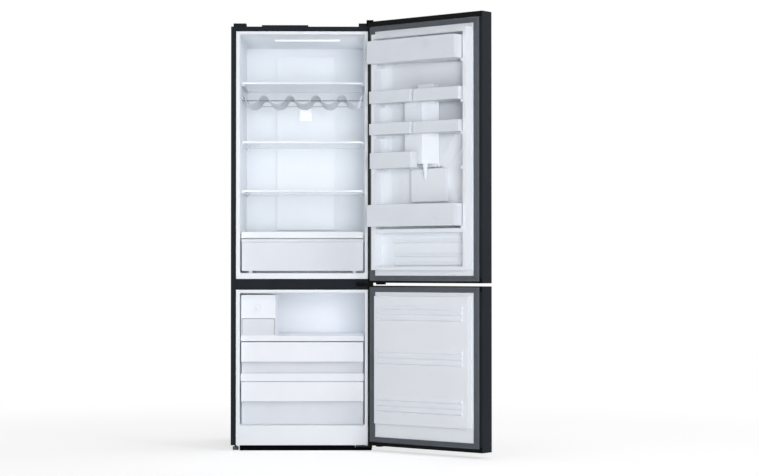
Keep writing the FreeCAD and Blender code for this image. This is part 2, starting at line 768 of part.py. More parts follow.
def air_duct_panel():
    body = new_part("air_duct_panel")
    front = "(interior_back - duct_depth)"
    add(body, ("-duct_half_width", "duct_half_width"), (front, "interior_back"),
        ("duct_bottom", "duct_top"))
    cut(body, ("duct_edge - duct_half_width", "duct_half_width - duct_edge"),
        (f"{front} + duct_wall", "interior_back + cut_overrun"),
        ("duct_bottom + duct_edge", "duct_top - duct_edge"))
    for share in DUCT_VENT_SHARES:
        low = f"(duct_bottom + (duct_top - duct_bottom) * {share})"
        cut(body, ("-(duct_half_width + cut_overrun)", "duct_half_width + cut_overrun"),
            (f"{front} + duct_wall", f"{front} + duct_wall + vent_depth"), (low, f"{low} + vent_height"))


def filter_cover():
    body = new_part("filter_cover")
    front = "(interior_back - duct_depth)"
    add(body, ("-filter_side / 2", "filter_side / 2"), (f"{front} - filter_thickness", front),
        ("filter_low", "filter_low + filter_side"))


def glass_shelf(label, level, front, trim_height):
    body = new_part(label)
    width = ("-shelf_half_width", "shelf_half_width")
    add(body, width, (front, "shelf_rear"), (f"{level} - shelf_glass", level))
    add(body, width, (front, f"{front} + shelf_trim_depth"),
        (f"{level} - {trim_height}", f"{level} + shelf_lip"))
    add(body, ("-shelf_rear_half_width", "shelf_rear_half_width"),
        ("shelf_rear - shelf_trim_depth", "shelf_rear"),
        (f"{level} - shelf_rear_trim", f"{level} + shelf_rear_trim"))


def half_wave(crest_x, cradle_x, offset):
    """Arc ends and middles from the top of a crest down to the bottom of a cradle.

    The two arcs meet on the line between their centres, so the wave has no corner there.
    """
    span = abs(cradle_x - crest_x)
    way = 1 if cradle_x > crest_x else -1
    drop = size("rack_drop")
    turn = 2 * math.atan2(drop, span)
    reach = span / math.sin(turn)
    cradle = reach * RACK_CRADLE_SHARE
    crest = reach - cradle
    middle_line = size("rack_level") - size("rack_sheet") / 2
    crest_z = middle_line - crest
    cradle_z = middle_line - drop + cradle
    crest_out = crest + offset
    cradle_out = cradle - offset
    return [(crest_x, crest_z + crest_out),
            (crest_x + way * crest_out * math.sin(turn / 2), crest_z + crest_out * math.cos(turn / 2)),
            (crest_x + way * crest_out * math.sin(turn), crest_z + crest_out * math.cos(turn)),
            (cradle_x - way * cradle_out * math.sin(turn / 2), cradle_z - cradle_out * math.cos(turn / 2)),
            (cradle_x, cradle_z - cradle_out)]


def rack_edge_points(offset):
    """Arc ends and middles of one face of the wavy sheet, from left to right.

    Wide cradles alternate with narrow crests, and the two end cradles rise sooner to the side walls.
    """
    pitch = size("rack_pitch")
    half = size("rack_half_width")
    points = []
    for bay in range(RACK_BAYS):
        cradle_x = (bay - (RACK_BAYS - 1) / 2) * pitch
        left = max(-half, cradle_x - pitch / 2)
        right = min(half, cradle_x + pitch / 2)
        falling = half_wave(left, cradle_x, offset)
        rising = half_wave(right, cradle_x, offset)[::-1]
        points += falling[min(bay, 1):] + rising[1:]
    return points


def wine_rack():
    """A wavy bottle cradle with flat end flanges and two stiffening rods."""
    item = doc.addObject("Part::Feature", "wine_rack")
    item.Label = "wine_rack"
    front = size("shelf_front")
    depth = size("rack_depth")
    sheet_metal = size("rack_sheet")
    edges = []
    ends = []
    for offset in (sheet_metal / 2, -sheet_metal / 2):
        points = [FreeCAD.Vector(x, front, z) for x, z in rack_edge_points(offset)]
        for start in range(0, len(points) - 1, 2):
            edges.append(Part.Arc(*points[start:start + 3]).toShape())
        ends.append((points[0], points[-1]))
    edges.append(Part.makeLine(ends[0][0], ends[1][0]))
    edges.append(Part.makeLine(ends[0][1], ends[1][1]))
    wave = Part.Face(Part.Wire(Part.__sortEdges__(edges)))
    solid = wave.extrude(FreeCAD.Vector(0, depth, 0))
    half = size("rack_half_width")
    flange = size("rack_flange")
    level = size("rack_level")
    for left in (-half - flange, half):
        corner = FreeCAD.Vector(left, front, level - sheet_metal)
        solid = solid.fuse(Part.makeBox(flange, depth, sheet_metal, corner))
    rod = size("rack_rod_radius")
    setback = size("rack_rod_setback")
    for y in (front + setback, front + depth - setback):
        start = FreeCAD.Vector(-half, y, level - size("rack_rod_drop"))
        solid = solid.fuse(Part.makeCylinder(rod, 2 * half, start, FreeCAD.Vector(1, 0, 0)))
    item.Shape = solid.removeSplitter()
    sub_parts.append(item)


def crisper_drawer():
    body = new_part("crisper_drawer")
    wall = "crisper_wall"
    add(body, ("-crisper_half_width", "crisper_half_width"), ("crisper_front", "crisper_back"),
        ("crisper_bottom", "crisper_top"))
    cut(body, (f"{wall} - crisper_half_width", f"crisper_half_width - {wall}"),
        (f"crisper_front + {wall}", f"crisper_back - {wall}"),
        (f"crisper_bottom + {wall}", "crisper_top + cut_overrun"))
    add(body, ("-crisper_half_width", "crisper_half_width"),
        ("crisper_front - crisper_grip_depth", f"crisper_front + {wall}"),
        ("crisper_top - crisper_grip_height", f"crisper_top - crisper_grip_height + {wall}"))
    for side in (1, -1):
        outer = "(crisper_half_width - crisper_runner_inset)"
        add(body, sided(side, f"{outer} - crisper_runner_width", outer),
            (f"crisper_front + {wall}", f"crisper_back - {wall}"),
            ("fridge_floor", f"crisper_bottom + {wall}"))


# Freezer compartment

def freezer_shelf(label, level, trim_height):
    body = new_part(label)
    width = ("-freezer_shelf_half_width", "freezer_shelf_half_width")
    add(body, width, ("freezer_shelf_front", "freezer_shelf_rear"),
        (f"{level} - freezer_shelf_plate", level))
    add(body, width,
        ("freezer_shelf_front", "freezer_shelf_front + freezer_shelf_trim_depth"),
        (f"{level} - {trim_height}", level))


def freezer_drawer(label, bottom, top, back):
    body = new_part(label)
    width = ("-drawer_half_width", "drawer_half_width")
    add(body, width, ("drawer_front", back), (bottom, top))
    cut(body, ("drawer_wall - drawer_half_width", "drawer_half_width - drawer_wall"),
        ("drawer_front + drawer_front_thickness", f"{back} - drawer_wall"),
        (f"{bottom} + drawer_wall", f"{top} + cut_overrun"))
    add(body, width,
        ("drawer_front - drawer_grip_depth", "drawer_front + drawer_front_thickness"),
        (f"{top} - drawer_wall", top))
    add(body, width,
        ("drawer_front - drawer_grip_depth", "drawer_front - drawer_grip_depth + drawer_wall"),
        (f"{top} - drawer_grip_height", top))


ICE_CENTRE = "(ice_maker_side_gap + ice_maker_half_width - interior_half_width)"
ICE_FLOOR = "(upper_freezer_shelf_level + ice_maker_wall)"


def ice_maker_housing():
    """A box on the freezer shelf: a tray space above, a drawer space open to the front below."""
    body = new_part("ice_maker_housing")
    inner = "(ice_maker_half_width - ice_maker_wall)"
    inside = (f"{ICE_CENTRE} - {inner}", f"{ICE_CENTRE} + {inner}")
    add(body, (f"{ICE_CENTRE} - ice_maker_half_width", f"{ICE_CENTRE} + ice_maker_half_width"),
        ("ice_maker_front", "ice_maker_back"), ("upper_freezer_shelf_level", "ice_maker_top"))
    cut(body, inside, ("ice_maker_front - cut_overrun", "ice_maker_back - ice_maker_wall"),
        (ICE_FLOOR, "ice_box_top"))
    cut(body, inside,
        ("ice_maker_front + ice_maker_wall", "ice_maker_back - ice_maker_wall"),
        ("ice_box_top", "ice_maker_top - ice_maker_wall"))
    cut_round(body, "y", (ICE_CENTRE, "ice_knob_level"),
              ("ice_maker_front - cut_overrun", "ice_maker_front + ice_maker_wall + cut_overrun"),
              "ice_shaft_radius + ice_shaft_clearance")


def ice_box():
    body = new_part("ice_box")
    half = "(ice_maker_half_width - ice_maker_wall - ice_box_gap)"
    top = "(ice_box_top - ice_box_gap)"
    back = "(ice_maker_back - ice_maker_wall - ice_box_gap)"
    add(body, (f"{ICE_CENTRE} - {half}", f"{ICE_CENTRE} + {half}"), ("ice_maker_front", back),
        (ICE_FLOOR, top))
    cut(body, (f"{ICE_CENTRE} - {half} + ice_box_wall", f"{ICE_CENTRE} + {half} - ice_box_wall"),
        ("ice_maker_front + ice_box_wall", f"{back} - ice_box_wall"),
        (f"{ICE_FLOOR} + ice_box_wall", f"{top} + cut_overrun"))


def ice_tray():
    """The twist tray on its shaft, with the knob in front of the housing."""
    body = new_part("ice_tray")
    inside_front = "(ice_maker_front + ice_maker_wall + ice_box_gap)"
    inside_back = "(ice_maker_back - ice_maker_wall - ice_box_gap)"
    axle = (ICE_CENTRE, "ice_knob_level")
    add(body, (f"{ICE_CENTRE} - ice_tray_half_width", f"{ICE_CENTRE} + ice_tray_half_width"),
        (inside_front, inside_back),
        ("ice_knob_level + ice_tray_drop - ice_tray_height", "ice_knob_level + ice_tray_drop"))
    cut(body, (f"{ICE_CENTRE} - ice_tray_half_width + ice_box_wall",
               f"{ICE_CENTRE} + ice_tray_half_width - ice_box_wall"),
        (f"{inside_front} + ice_tray_drop", f"{inside_back} - ice_box_wall"),
        ("ice_knob_level + ice_tray_drop - ice_tray_height + ice_box_wall",
         "ice_knob_level + ice_tray_drop + cut_overrun"))
    add_round(body, "y", axle, ("ice_maker_front - ice_knob_height", f"{inside_front} + ice_box_gap"),
              "ice_shaft_radius")
    add_round(body, "y", axle,
              ("ice_maker_front - ice_knob_height", "ice_maker_front - ice_box_gap"),
              "ice_knob_radius")


def freezer_back_panel():
    body = new_part("freezer_back_panel")
    half = "(interior_half_width - cold_wall_gap)"
    wide = (f"-{half}", half)
    back = "(cold_wall_front + cold_wall_thickness)"
    through = ("cold_wall_front - cut_overrun", f"{back} + cut_overrun")
    add(body, wide, ("cold_wall_front", back), ("freezer_step_top", "freezer_ceiling"))
    for share in AIR_SLOT_SHARES:
        low = f"(lower_freezer_shelf_level + (upper_drawer_top - lower_freezer_shelf_level) * {share})"
        cut(body, ("-air_slot_half_width", "air_slot_half_width"), through, (low, f"{low} + air_slot_height"))


FAN_FRONT = "(cold_wall_front + cold_wall_thickness + fan_front_gap)"
FAN_BACK = f"({FAN_FRONT} + fan_hub_length)"


def fan_motor():
    body = new_part("fan_motor")
    axle = ("0", "fan_level")
    add_round(body, "y", axle, (f"{FAN_BACK} + fan_motor_gap", "interior_back"), "fan_motor_radius")
    add_round(body, "y", axle, (f"{FAN_FRONT} + fan_blade_thickness", "interior_back"), "fan_shaft_radius")


def evaporator_fan():
    """A hub on the motor shaft with flat blades."""
    body = new_part("evaporator_fan")
    axle = ("0", "fan_level")
    add(body, ("-fan_hub_radius / 2", "fan_hub_radius / 2"),
        (f"{FAN_FRONT} + fan_blade_thickness", f"{FAN_FRONT} + 2 * fan_blade_thickness"),
        ("fan_level", "fan_level + fan_radius"))
    add_round(body, "y", axle, (FAN_FRONT, FAN_BACK), "fan_hub_radius")
    for number in range(1, FAN_BLADES):
        turned = add(body, ("-fan_hub_radius / 2", "fan_hub_radius / 2"),
                     (f"{FAN_FRONT} + fan_blade_thickness", f"{FAN_FRONT} + 2 * fan_blade_thickness"),
                     ("0", "fan_radius"))
        angle = 360 / FAN_BLADES * number
        turned.Placement.Rotation = FreeCAD.Rotation(FreeCAD.Vector(0, 1, 0), angle)
        reach = f"fan_hub_radius / 2 * {math.cos(math.radians(angle))}"
        rise = f"fan_hub_radius / 2 * {math.sin(math.radians(angle))}"
        bind(turned, "Placement.Base.x", f"-({reach})")
        bind(turned, "Placement.Base.z", f"fan_level + {rise}")
    cut_round(body, "y", axle, (f"{FAN_FRONT} + fan_blade_thickness", f"{FAN_BACK} + cut_overrun"),
              "fan_shaft_radius + fan_shaft_clearance")


def evaporator():
    """Fins threaded on tubes, standing on the step behind the cold wall."""
    body = new_part("evaporator")
    deep = ("interior_back - evaporator_depth", "interior_back")
    count = int(2 * size("evaporator_half_width") / size("evaporator_fin_pitch"))
    for share in EVAPORATOR_TUBE_SHARES:
        level = f"freezer_step_top + (evaporator_top - freezer_step_top) * {share}"
        add_round(body, "x", ("interior_back - evaporator_depth / 2", level),
                  ("-evaporator_half_width", "evaporator_half_width"), "evaporator_tube_radius")
    for number in range(count + 1):
        left = f"(-evaporator_half_width + evaporator_fin_pitch * {number})"
        add(body, (left, f"{left} + evaporator_fin"), deep, ("freezer_step_top", "evaporator_top"))


def compressor():
    """A hermetic pot on its foot plate and four rubber-footed bosses."""
    body = new_part("compressor")
    x = "compressor_side"
    y = f"({BACK_INSIDE} - compressor_from_back)"
    plate_low = f"({BASE_TOP} + compressor_foot_height)"
    plate_high = f"({plate_low} + compressor_plate_thickness)"
    add(body, (f"{x} - compressor_plate_half", f"{x} + compressor_plate_half"),
        (f"{y} - compressor_plate_half", f"{y} + compressor_plate_half"), (plate_low, plate_high))
    for right in ("-", ""):
        for back in ("-", ""):
            offset = "(compressor_plate_half - compressor_foot_radius)"
            add_round(body, "z", (f"{x} + ({right}{offset})", f"{y} + ({back}{offset})"),
                      (BASE_TOP, plate_high), "compressor_foot_radius")
    shoulder = f"({plate_high} + compressor_height - compressor_crown)"
    add_round(body, "z", (x, y), (plate_low, shoulder), "compressor_radius")
    add_round(body, "z", (x, y), (shoulder, f"{shoulder} + compressor_crown"),
              "compressor_radius", "compressor_radius - compressor_crown")


# Doors. Each door piece is drawn closed, about its hinge axis, and then swung open.

DOOR_RIGHT = "hinge_inset"
DOOR_LEFT = "(hinge_inset - cabinet_width)"
DOOR_MIDDLE = f"(hinge_inset - {HALF})"
CABINET_FACE = "hinge_forward"
INNER = "(hinge_forward - gasket_thickness)"
OUTER = f"({INNER} - door_thickness)"
CORE_X = (f"{DOOR_LEFT} + sheet_metal", f"{DOOR_RIGHT} - door_stile")
CORE_Y = (f"{OUTER} + sheet_metal", f"{INNER} - liner_wall")
FLANGE_X = (f"{DOOR_LEFT} + skin_return", f"{DOOR_RIGHT} - door_stile")
RECESS_HALF = "(dyke_half_width - dyke_width)"
RECESS_BACK = f"({CABINET_FACE} - recess_depth)"
LOWER_RECESS_BACK = f"({CABINET_FACE} - lower_recess_depth)"
NICHE_MIDDLE = f"({DOOR_MIDDLE} - bulge_left + bulge_width / 2)"
TANK_LEFT = f"({DOOR_MIDDLE} - tank_left)"
TANK_FRONT = f"({CABINET_FACE} + tank_reach)"


def about(middle, half):
    return (f"{middle} - ({half})", f"{middle} + ({half})")


def hang(item):
    """Puts a door piece on the hinge axis and swings it to the open angle."""
    item.Placement = FreeCAD.Placement(FreeCAD.Vector(),
                                       FreeCAD.Rotation(FreeCAD.Vector(0, 0, 1), size("door_open_angle")))
    bind(item, "Placement.Base.x", HINGE_X)
    bind(item, "Placement.Base.y", HINGE_Y)
    bind(item, "Placement.Rotation.Angle", "door_open_angle")


def cut_niche(body):
    """Room for the dispenser niche."""
    cut(body, about(NICHE_MIDDLE, "niche_half_width + niche_wall"),
        (f"{OUTER} - cut_overrun", f"{OUTER} + niche_depth"),
        ("niche_bottom - niche_wall", "niche_top + niche_wall"))


def door_skin(label, bottom, top):
    body = new_part(label)
    add(body, (DOOR_LEFT, DOOR_RIGHT), (OUTER, f"{OUTER} + sheet_metal"), (bottom, top))
    add(body, (DOOR_LEFT, f"{DOOR_LEFT} + sheet_metal"), (OUTER, INNER), (bottom, top))
    add(body, (DOOR_LEFT, f"{DOOR_LEFT} + skin_return"), (f"{INNER} - liner_wall", INNER),
        (f"{bottom} + door_cap", f"{top} - door_cap"))
    hang(body)
    return body


def door_frame(label, bottom, top):
    """End caps and hinge stile, with a groove that clears the cabinet's corner when open."""
    body = new_part(label)
    deep = (f"{OUTER} + sheet_metal", INNER)
    width = (f"{DOOR_LEFT} + sheet_metal", DOOR_RIGHT)
    add(body, (f"{DOOR_RIGHT} - door_stile", DOOR_RIGHT), deep, (bottom, top))
    add(body, width, deep, (bottom, f"{bottom} + door_cap"))
    add(body, width, deep, (f"{top} - door_cap", top))
    apex = f"({DOOR_RIGHT} - relief_depth)"
    groove = cut(body, (apex, f"{apex} + relief_length"),
                 ("-relief_from_axis", "relief_length - relief_from_axis"),
                 (f"{bottom} - cut_overrun", f"{top} + cut_overrun"))
    corner_turn = 90 - size("door_open_angle")
    groove.Placement.Rotation = FreeCAD.Rotation(FreeCAD.Vector(0, 0, 1), corner_turn)
    cut(body, (f"{DOOR_RIGHT} - door_lip_inset", f"{DOOR_RIGHT} + cut_overrun"),
        ("-pin_radius", f"{INNER} + cut_overrun"), (f"{bottom} - cut_overrun", f"{top} + cut_overrun"))
    hole = "pin_radius + pin_clearance"
    deep_end = "pin_depth + pin_hole_spare"
    cut_round(body, "z", ("0", "0"), (f"{bottom} - cut_overrun", f"{bottom} + {deep_end}"), hole)
    cut_round(body, "z", ("0", "0"), (f"{top} - ({deep_end})", f"{top} + cut_overrun"), hole)
    hang(body)


def door_gasket(label, bottom, top):
    body = new_part(label)
    left = f"({DOOR_LEFT} + gasket_side_inset)"
    right = f"({DOOR_RIGHT} - gasket_side_inset)"
    add(body, (left, right), (INNER, CABINET_FACE), (bottom, top))
    cut(body, (f"{left} + gasket_side_width", f"{right} - gasket_side_width"),
        (f"{INNER} - cut_overrun", f"{CABINET_FACE} + cut_overrun"),
        (f"{bottom} + gasket_end_width", f"{top} - gasket_end_width"))
    hang(body)


def fridge_door_tub(body, kind, grow):
    """The two sunk fields of the fridge door, grown by a wall for the space around them."""
    wide = about(DOOR_MIDDLE, f"{RECESS_HALF} + {grow}")
    front = f"{CABINET_FACE} + dyke_reach + cut_overrun" if kind == "Subtractive" else INNER
    block(body, kind, wide, (f"{RECESS_BACK} - {grow}", front),
          (f"ledge_top - {grow}", f"recess_top + {grow}"))
    block(body, kind, wide, (f"{LOWER_RECESS_BACK} - {grow}", front),
          (f"lower_recess_bottom - {grow}", f"ledge_bottom + {grow}"))


BIN_SEATS = ("top_bin_bottom", "upper_bin_bottom", "lower_bin_bottom", "half_bin_bottom",
             "bottle_bin_bottom")


def fridge_door_liner():
    body = new_part("fridge_door_liner")
    bottom = "fridge_door_bottom + door_cap"
    top = "fridge_door_top - door_cap"
    add(body, FLANGE_X, (f"{INNER} - liner_wall", INNER), (bottom, top))
    add(body, about(DOOR_MIDDLE, "dyke_half_width"),
        (f"{INNER} - liner_wall", f"{CABINET_FACE} + dyke_reach"), ("dyke_bottom", "dyke_top"))
    fridge_door_tub(body, "Additive", "liner_wall")
    fridge_door_tub(body, "Subtractive", "0")
    for share in LOWER_RIB_SHARES:
        low = f"(lower_recess_bottom + (ledge_bottom - lower_recess_bottom) * {share})"
        add(body, about(DOOR_MIDDLE, RECESS_HALF),
            (f"{LOWER_RECESS_BACK} - liner_wall", f"{LOWER_RECESS_BACK} + lower_rib_depth"),
            (low, f"{low} + lower_rib_height"))
    add(body, (f"{DOOR_MIDDLE} - bulge_left", f"{DOOR_MIDDLE} - bulge_left + bulge_width"),
        (f"{RECESS_BACK} - liner_wall", f"{RECESS_BACK} + bulge_depth"), ("bulge_bottom", "bulge_top"))
    cut_niche(body)
    for seat in BIN_SEATS:
        for side in (1, -1):
            low, high = sided(side, f"{RECESS_HALF} - bin_lug_depth", f"{RECESS_HALF} + liner_wall")
            add(body, (f"{DOOR_MIDDLE} + ({low})", f"{DOOR_MIDDLE} + ({high})"),
                (RECESS_BACK, f"{CABINET_FACE} + dyke_reach"), (f"{seat} - bin_lug_height", seat))
    add(body, (TANK_LEFT, f"{TANK_LEFT} + tank_width"),
        (f"{RECESS_BACK} - liner_wall", f"{RECESS_BACK} + bin_lug_depth"),
        ("tank_bottom - bin_lug_height", "tank_bottom"))
    hang(body)


def fridge_door_foam():
    body = new_part("fridge_door_foam")
    add(body, CORE_X, CORE_Y, ("fridge_door_bottom + door_cap", "fridge_door_top - door_cap"))
    fridge_door_tub(body, "Subtractive", "liner_wall")
    cut_niche(body)
    hang(body)


def freezer_plateau(body, kind, shrink):
    block(body, kind, about(DOOR_MIDDLE, f"plateau_half_width - {shrink}"),
          (f"{INNER} - liner_wall", f"{CABINET_FACE} + plateau_reach - {shrink}"),
          (f"plateau_bottom + {shrink}", f"plateau_top - {shrink}"))


def freezer_door_liner():
    body = new_part("freezer_door_liner")
    add(body, FLANGE_X, (f"{INNER} - liner_wall", INNER),
        ("freezer_door_bottom + door_cap", "freezer_door_top - door_cap"))
    freezer_plateau(body, "Additive", "0")
    freezer_plateau(body, "Subtractive", "liner_wall")
    face = f"({CABINET_FACE} + plateau_reach)"
    for share in PLATEAU_RIB_SHARES:
        low = f"(plateau_bottom + (plateau_top - plateau_bottom) * {share})"
        add(body, about(DOOR_MIDDLE, "plateau_half_width - plateau_rib_side_margin"),
            (f"{face} - liner_wall", f"{face} + plateau_rib_depth"), (low, f"{low} + plateau_rib_height"))
    hang(body)


def freezer_door_foam():
    body = new_part("freezer_door_foam")
    add(body, CORE_X, CORE_Y, ("freezer_door_bottom + door_cap", "freezer_door_top - door_cap"))
    freezer_plateau(body, "Additive", "liner_wall")
    hang(body)


def door_bin(label, left, right, reach, bottom, top, tank_side=None):
    """An open bin between the dykes, cut back around the tank on the side that is named."""
    body = new_part(label)
    back = f"({RECESS_BACK} + bin_back_gap)"
    front = f"({CABINET_FACE} + {reach})"
    notch_front = f"({TANK_FRONT} + tank_notch_gap)"
    add(body, (left, right), (back, front), (bottom, top))
    inside = [left, right]
    if tank_side == "right":
        inside[1] = f"({TANK_LEFT} - tank_notch_gap)"
        notch = (inside[1], f"{right} + cut_overrun")
    elif tank_side == "left":
        inside[0] = f"({TANK_LEFT} + tank_width + tank_notch_gap)"
        notch = (f"{left} - cut_overrun", inside[0])
    if tank_side:
        cut(body, notch, (f"{back} - cut_overrun", notch_front),
            (f"{bottom} - cut_overrun", f"{top} + cut_overrun"))
        cut(body, (f"{left} + bin_wall", f"{right} - bin_wall"),
            (f"{notch_front} + bin_wall", f"{front} - bin_wall"),
            (f"{bottom} + bin_wall", f"{top} + cut_overrun"))
    cut(body, (f"{inside[0]} + bin_wall", f"{inside[1]} - bin_wall"),
        (f"{back} + bin_wall", f"{front} - bin_wall"), (f"{bottom} + bin_wall", f"{top} + cut_overrun"))
    hang(body)


def door_bins():
    left, right = about(DOOR_MIDDLE, f"{RECESS_HALF} - bin_hanger_gap")
    split = f"({DOOR_MIDDLE} + bin_split)"
    free_end = f"({split} - bin_split_gap / 2)"
    hinge_start = f"({split} + bin_split_gap / 2)"
    door_bin("top_bin", left, right, "bin_reach", "top_bin_bottom", "top_bin_top")
    for name in ("upper", "lower"):
        levels = (f"{name}_bin_bottom", f"{name}_bin_top")
        door_bin(f"{name}_free_side_bin", left, free_end, "bin_half_reach", *levels, tank_side="right")
        door_bin(f"{name}_hinge_side_bin", hinge_start, right, "bin_deep_half_reach", *levels,
                 tank_side="left")
    door_bin("half_bin", hinge_start, right, "half_bin_reach", "half_bin_bottom", "half_bin_top",
             tank_side="left")
    door_bin("bottle_bin", left, right, "bin_reach", "bottle_bin_bottom", "bottle_bin_top")


def water_tank():
    """A tank with one rounded corner, a filling neck above and the outlet valve below."""
    body = new_part("water_tank")
    right = f"({TANK_LEFT} + tank_width)"
    back = f"({RECESS_BACK} + tank_back_gap)"
    main = add(body, (TANK_LEFT, right), (back, TANK_FRONT), ("tank_bottom", "tank_top"))
    corner_x = size("hinge_inset") - size("cabinet_width") / 2 - size("tank_left")
    corner_y = size("hinge_forward") + size("tank_reach")
    middle_z = (size("tank_bottom") + size("tank_top")) / 2
    corner = FreeCAD.Vector(corner_x, corner_y, middle_z)
    near = size("tank_wall")
    depth = f"({TANK_FRONT} - {back})"
    radius = f"min(tank_corner; {depth} - tank_wall)"
    fillet(body, main, radius, lambda edge, middle: middle.distanceToPoint(corner) < near)
    neck_left = f"({TANK_LEFT} + tank_neck_from_left)"
    neck_right = f"({neck_left} + tank_neck_width)"
    neck_back = f"({back} + tank_wall)"
    neck_front = f"({neck_back} + tank_neck_depth)"
    add(body, (neck_left, neck_right), (neck_back, neck_front),
        ("tank_top - tank_wall", "tank_neck_top"))
    cut(body, (f"{TANK_LEFT} + tank_corner", f"{right} - tank_wall"),
        (f"{back} + tank_wall", f"{TANK_FRONT} - tank_wall"),
        ("tank_bottom + tank_wall", "tank_top - tank_wall"))
    cut(body, (f"{TANK_LEFT} + tank_corner", f"{neck_right} - tank_wall"),
        (f"{neck_back} + tank_wall", f"{neck_front} - tank_wall"),
        ("tank_top - 2 * tank_wall", "tank_neck_top + cut_overrun"))
    valve = (f"{TANK_LEFT} + valve_from_left", f"{TANK_FRONT} - valve_front_gap")
    add_round(body, "z", valve, ("tank_bottom - valve_length", "tank_bottom + tank_wall"),
              "valve_tip_radius", "valve_radius")
    hang(body)


def tank_lid():
    """A push-on cap over the filling neck."""
    body = new_part("tank_lid")
    neck_left = f"({TANK_LEFT} + tank_neck_from_left)"
    neck_back = f"({RECESS_BACK} + tank_back_gap + tank_wall)"
    add(body, (f"{neck_left} - tank_lid_overhang", f"{neck_left} + tank_neck_width + tank_lid_overhang"),
        (f"{neck_back} - tank_lid_overhang", f"{neck_back} + tank_neck_depth + tank_lid_overhang"),
        ("tank_neck_top", "tank_neck_top + tank_lid_height"))
    hang(body)


def dispenser_niche():
    """The open box in the door's front where a glass is filled."""
    body = new_part("dispenser_niche")
    add(body, about(NICHE_MIDDLE, "niche_half_width + niche_wall"), (OUTER, f"{OUTER} + niche_depth"),
        ("niche_bottom - niche_wall", "niche_top + niche_wall"))
    cut(body, about(NICHE_MIDDLE, "niche_half_width"),
        (f"{OUTER} - cut_overrun", f"{OUTER} + niche_depth - niche_wall"), ("niche_bottom", "niche_top"))
    cut_round(body, "x", (f"{OUTER} + lever_setback", "niche_top - lever_top_gap"),
              about(NICHE_MIDDLE, "niche_half_width + niche_wall + cut_overrun"),
              "lever_pin_radius + lever_pin_clearance")
    hang(body)


def dispenser_lever():
    body = new_part("dispenser_lever")
    axle_y = f"({OUTER} + lever_setback)"
    axle_z = "(niche_top - lever_top_gap)"
    add(body, about(NICHE_MIDDLE, "lever_half_width"), about(axle_y, "lever_thickness / 2"),
        (f"{axle_z} - lever_height", axle_z))
    add_round(body, "x", (axle_y, axle_z), about(NICHE_MIDDLE, "niche_half_width + niche_wall"),
              "lever_pin_radius")
    hang(body)


# Assembly

side_panel("left_side_panel", -1)
side_panel("right_side_panel", 1)
top_panel()
back_panel()
base_plate()
mullion_cover()
kick_plate()
front_foot("left_front_foot", -1)
front_foot("right_front_foot", 1)
fridge_liner()
freezer_liner()
cabinet_foam()
power_inlet()
top_hinge()
top_hinge_cover()
blanking_cover()
middle_hinge()
bottom_hinge()
lamp_lens()
air_duct_panel()
filter_cover()
for shelf_label, shelf_level in SHELF_LEVELS.items():
    glass_shelf(shelf_label, shelf_level, "shelf_front", "shelf_trim_height")
glass_shelf("crisper_cover", "crisper_cover_level", "crisper_cover_front", "crisper_cover_trim_height")
wine_rack()
crisper_drawer()
freezer_shelf("upper_freezer_shelf", "upper_freezer_shelf_level", "upper_freezer_shelf_trim")
freezer_shelf("lower_freezer_shelf", "lower_freezer_shelf_level", "lower_freezer_shelf_trim")
freezer_drawer("upper_freezer_drawer", "lower_freezer_shelf_level", "upper_drawer_top", "upper_drawer_back")
freezer_drawer("lower_freezer_drawer", "freezer_floor", "lower_drawer_top", "lower_drawer_back")
ice_maker_housing()
ice_box()
ice_tray()
freezer_back_panel()
fan_motor()
evaporator_fan()
evaporator()
compressor()
cut_niche(door_skin("fridge_door_skin", "fridge_door_bottom", "fridge_door_top"))
door_frame("fridge_door_frame", "fridge_door_bottom", "fridge_door_top")
door_gasket("fridge_door_gasket", "fridge_door_bottom + fridge_gasket_bottom_inset",
            "fridge_door_top - fridge_gasket_top_inset")
fridge_door_liner()
fridge_door_foam()
door_bins()
water_tank()
tank_lid()
dispenser_niche()
dispenser_lever()
door_skin("freezer_door_skin", "freezer_door_bottom", "freezer_door_top")
door_frame("freezer_door_frame", "freezer_door_bottom", "freezer_door_top")
door_gasket("freezer_door_gasket", "freezer_door_bottom + freezer_gasket_bottom_inset",
            "freezer_door_top - freezer_gasket_top_inset")
freezer_door_liner()
freezer_door_foam()

doc.recompute()
faults = [item.Label for item in doc.Objects if {"Invalid", "Error"} & set(item.State)]
faults += [part.Label for part in sub_parts if part.Shape.isNull() or not part.Shape.isValid()]
if faults:
    raise RuntimeError("failed: " + ", ".join(faults))

os.makedirs("parts", exist_ok=True)
for part in sub_parts:
    part.Shape.exportStep(f"parts/{part.Label}.step")
    print(part.Label, len(part.Shape.Solids), round(part.Shape.Volume))
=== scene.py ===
"""Looks for the two-door refrigerator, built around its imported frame.

Shapes are drawn in millimetres. What belongs to a door is drawn with the door closed, about its hinge axis.
"""

import json
import math

import bmesh
import bpy
from mathutils import Matrix, Vector


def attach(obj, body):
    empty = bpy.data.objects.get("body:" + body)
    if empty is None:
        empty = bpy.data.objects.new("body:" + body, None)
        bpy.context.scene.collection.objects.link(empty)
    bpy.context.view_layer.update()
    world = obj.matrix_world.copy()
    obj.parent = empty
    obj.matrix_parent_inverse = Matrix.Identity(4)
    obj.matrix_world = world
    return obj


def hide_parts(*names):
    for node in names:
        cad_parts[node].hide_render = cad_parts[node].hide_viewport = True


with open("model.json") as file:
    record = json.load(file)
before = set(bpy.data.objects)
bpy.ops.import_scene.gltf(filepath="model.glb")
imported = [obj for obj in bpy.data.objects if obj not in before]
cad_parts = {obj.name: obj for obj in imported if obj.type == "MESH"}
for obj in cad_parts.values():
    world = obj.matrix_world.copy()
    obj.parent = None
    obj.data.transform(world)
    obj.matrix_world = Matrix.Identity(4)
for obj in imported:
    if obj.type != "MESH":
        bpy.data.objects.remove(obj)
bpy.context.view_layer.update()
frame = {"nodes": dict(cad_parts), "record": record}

MM = 0.001
OPEN_ANGLE = math.radians(140)
HINGE = Vector((0.2855, -0.013, 0))
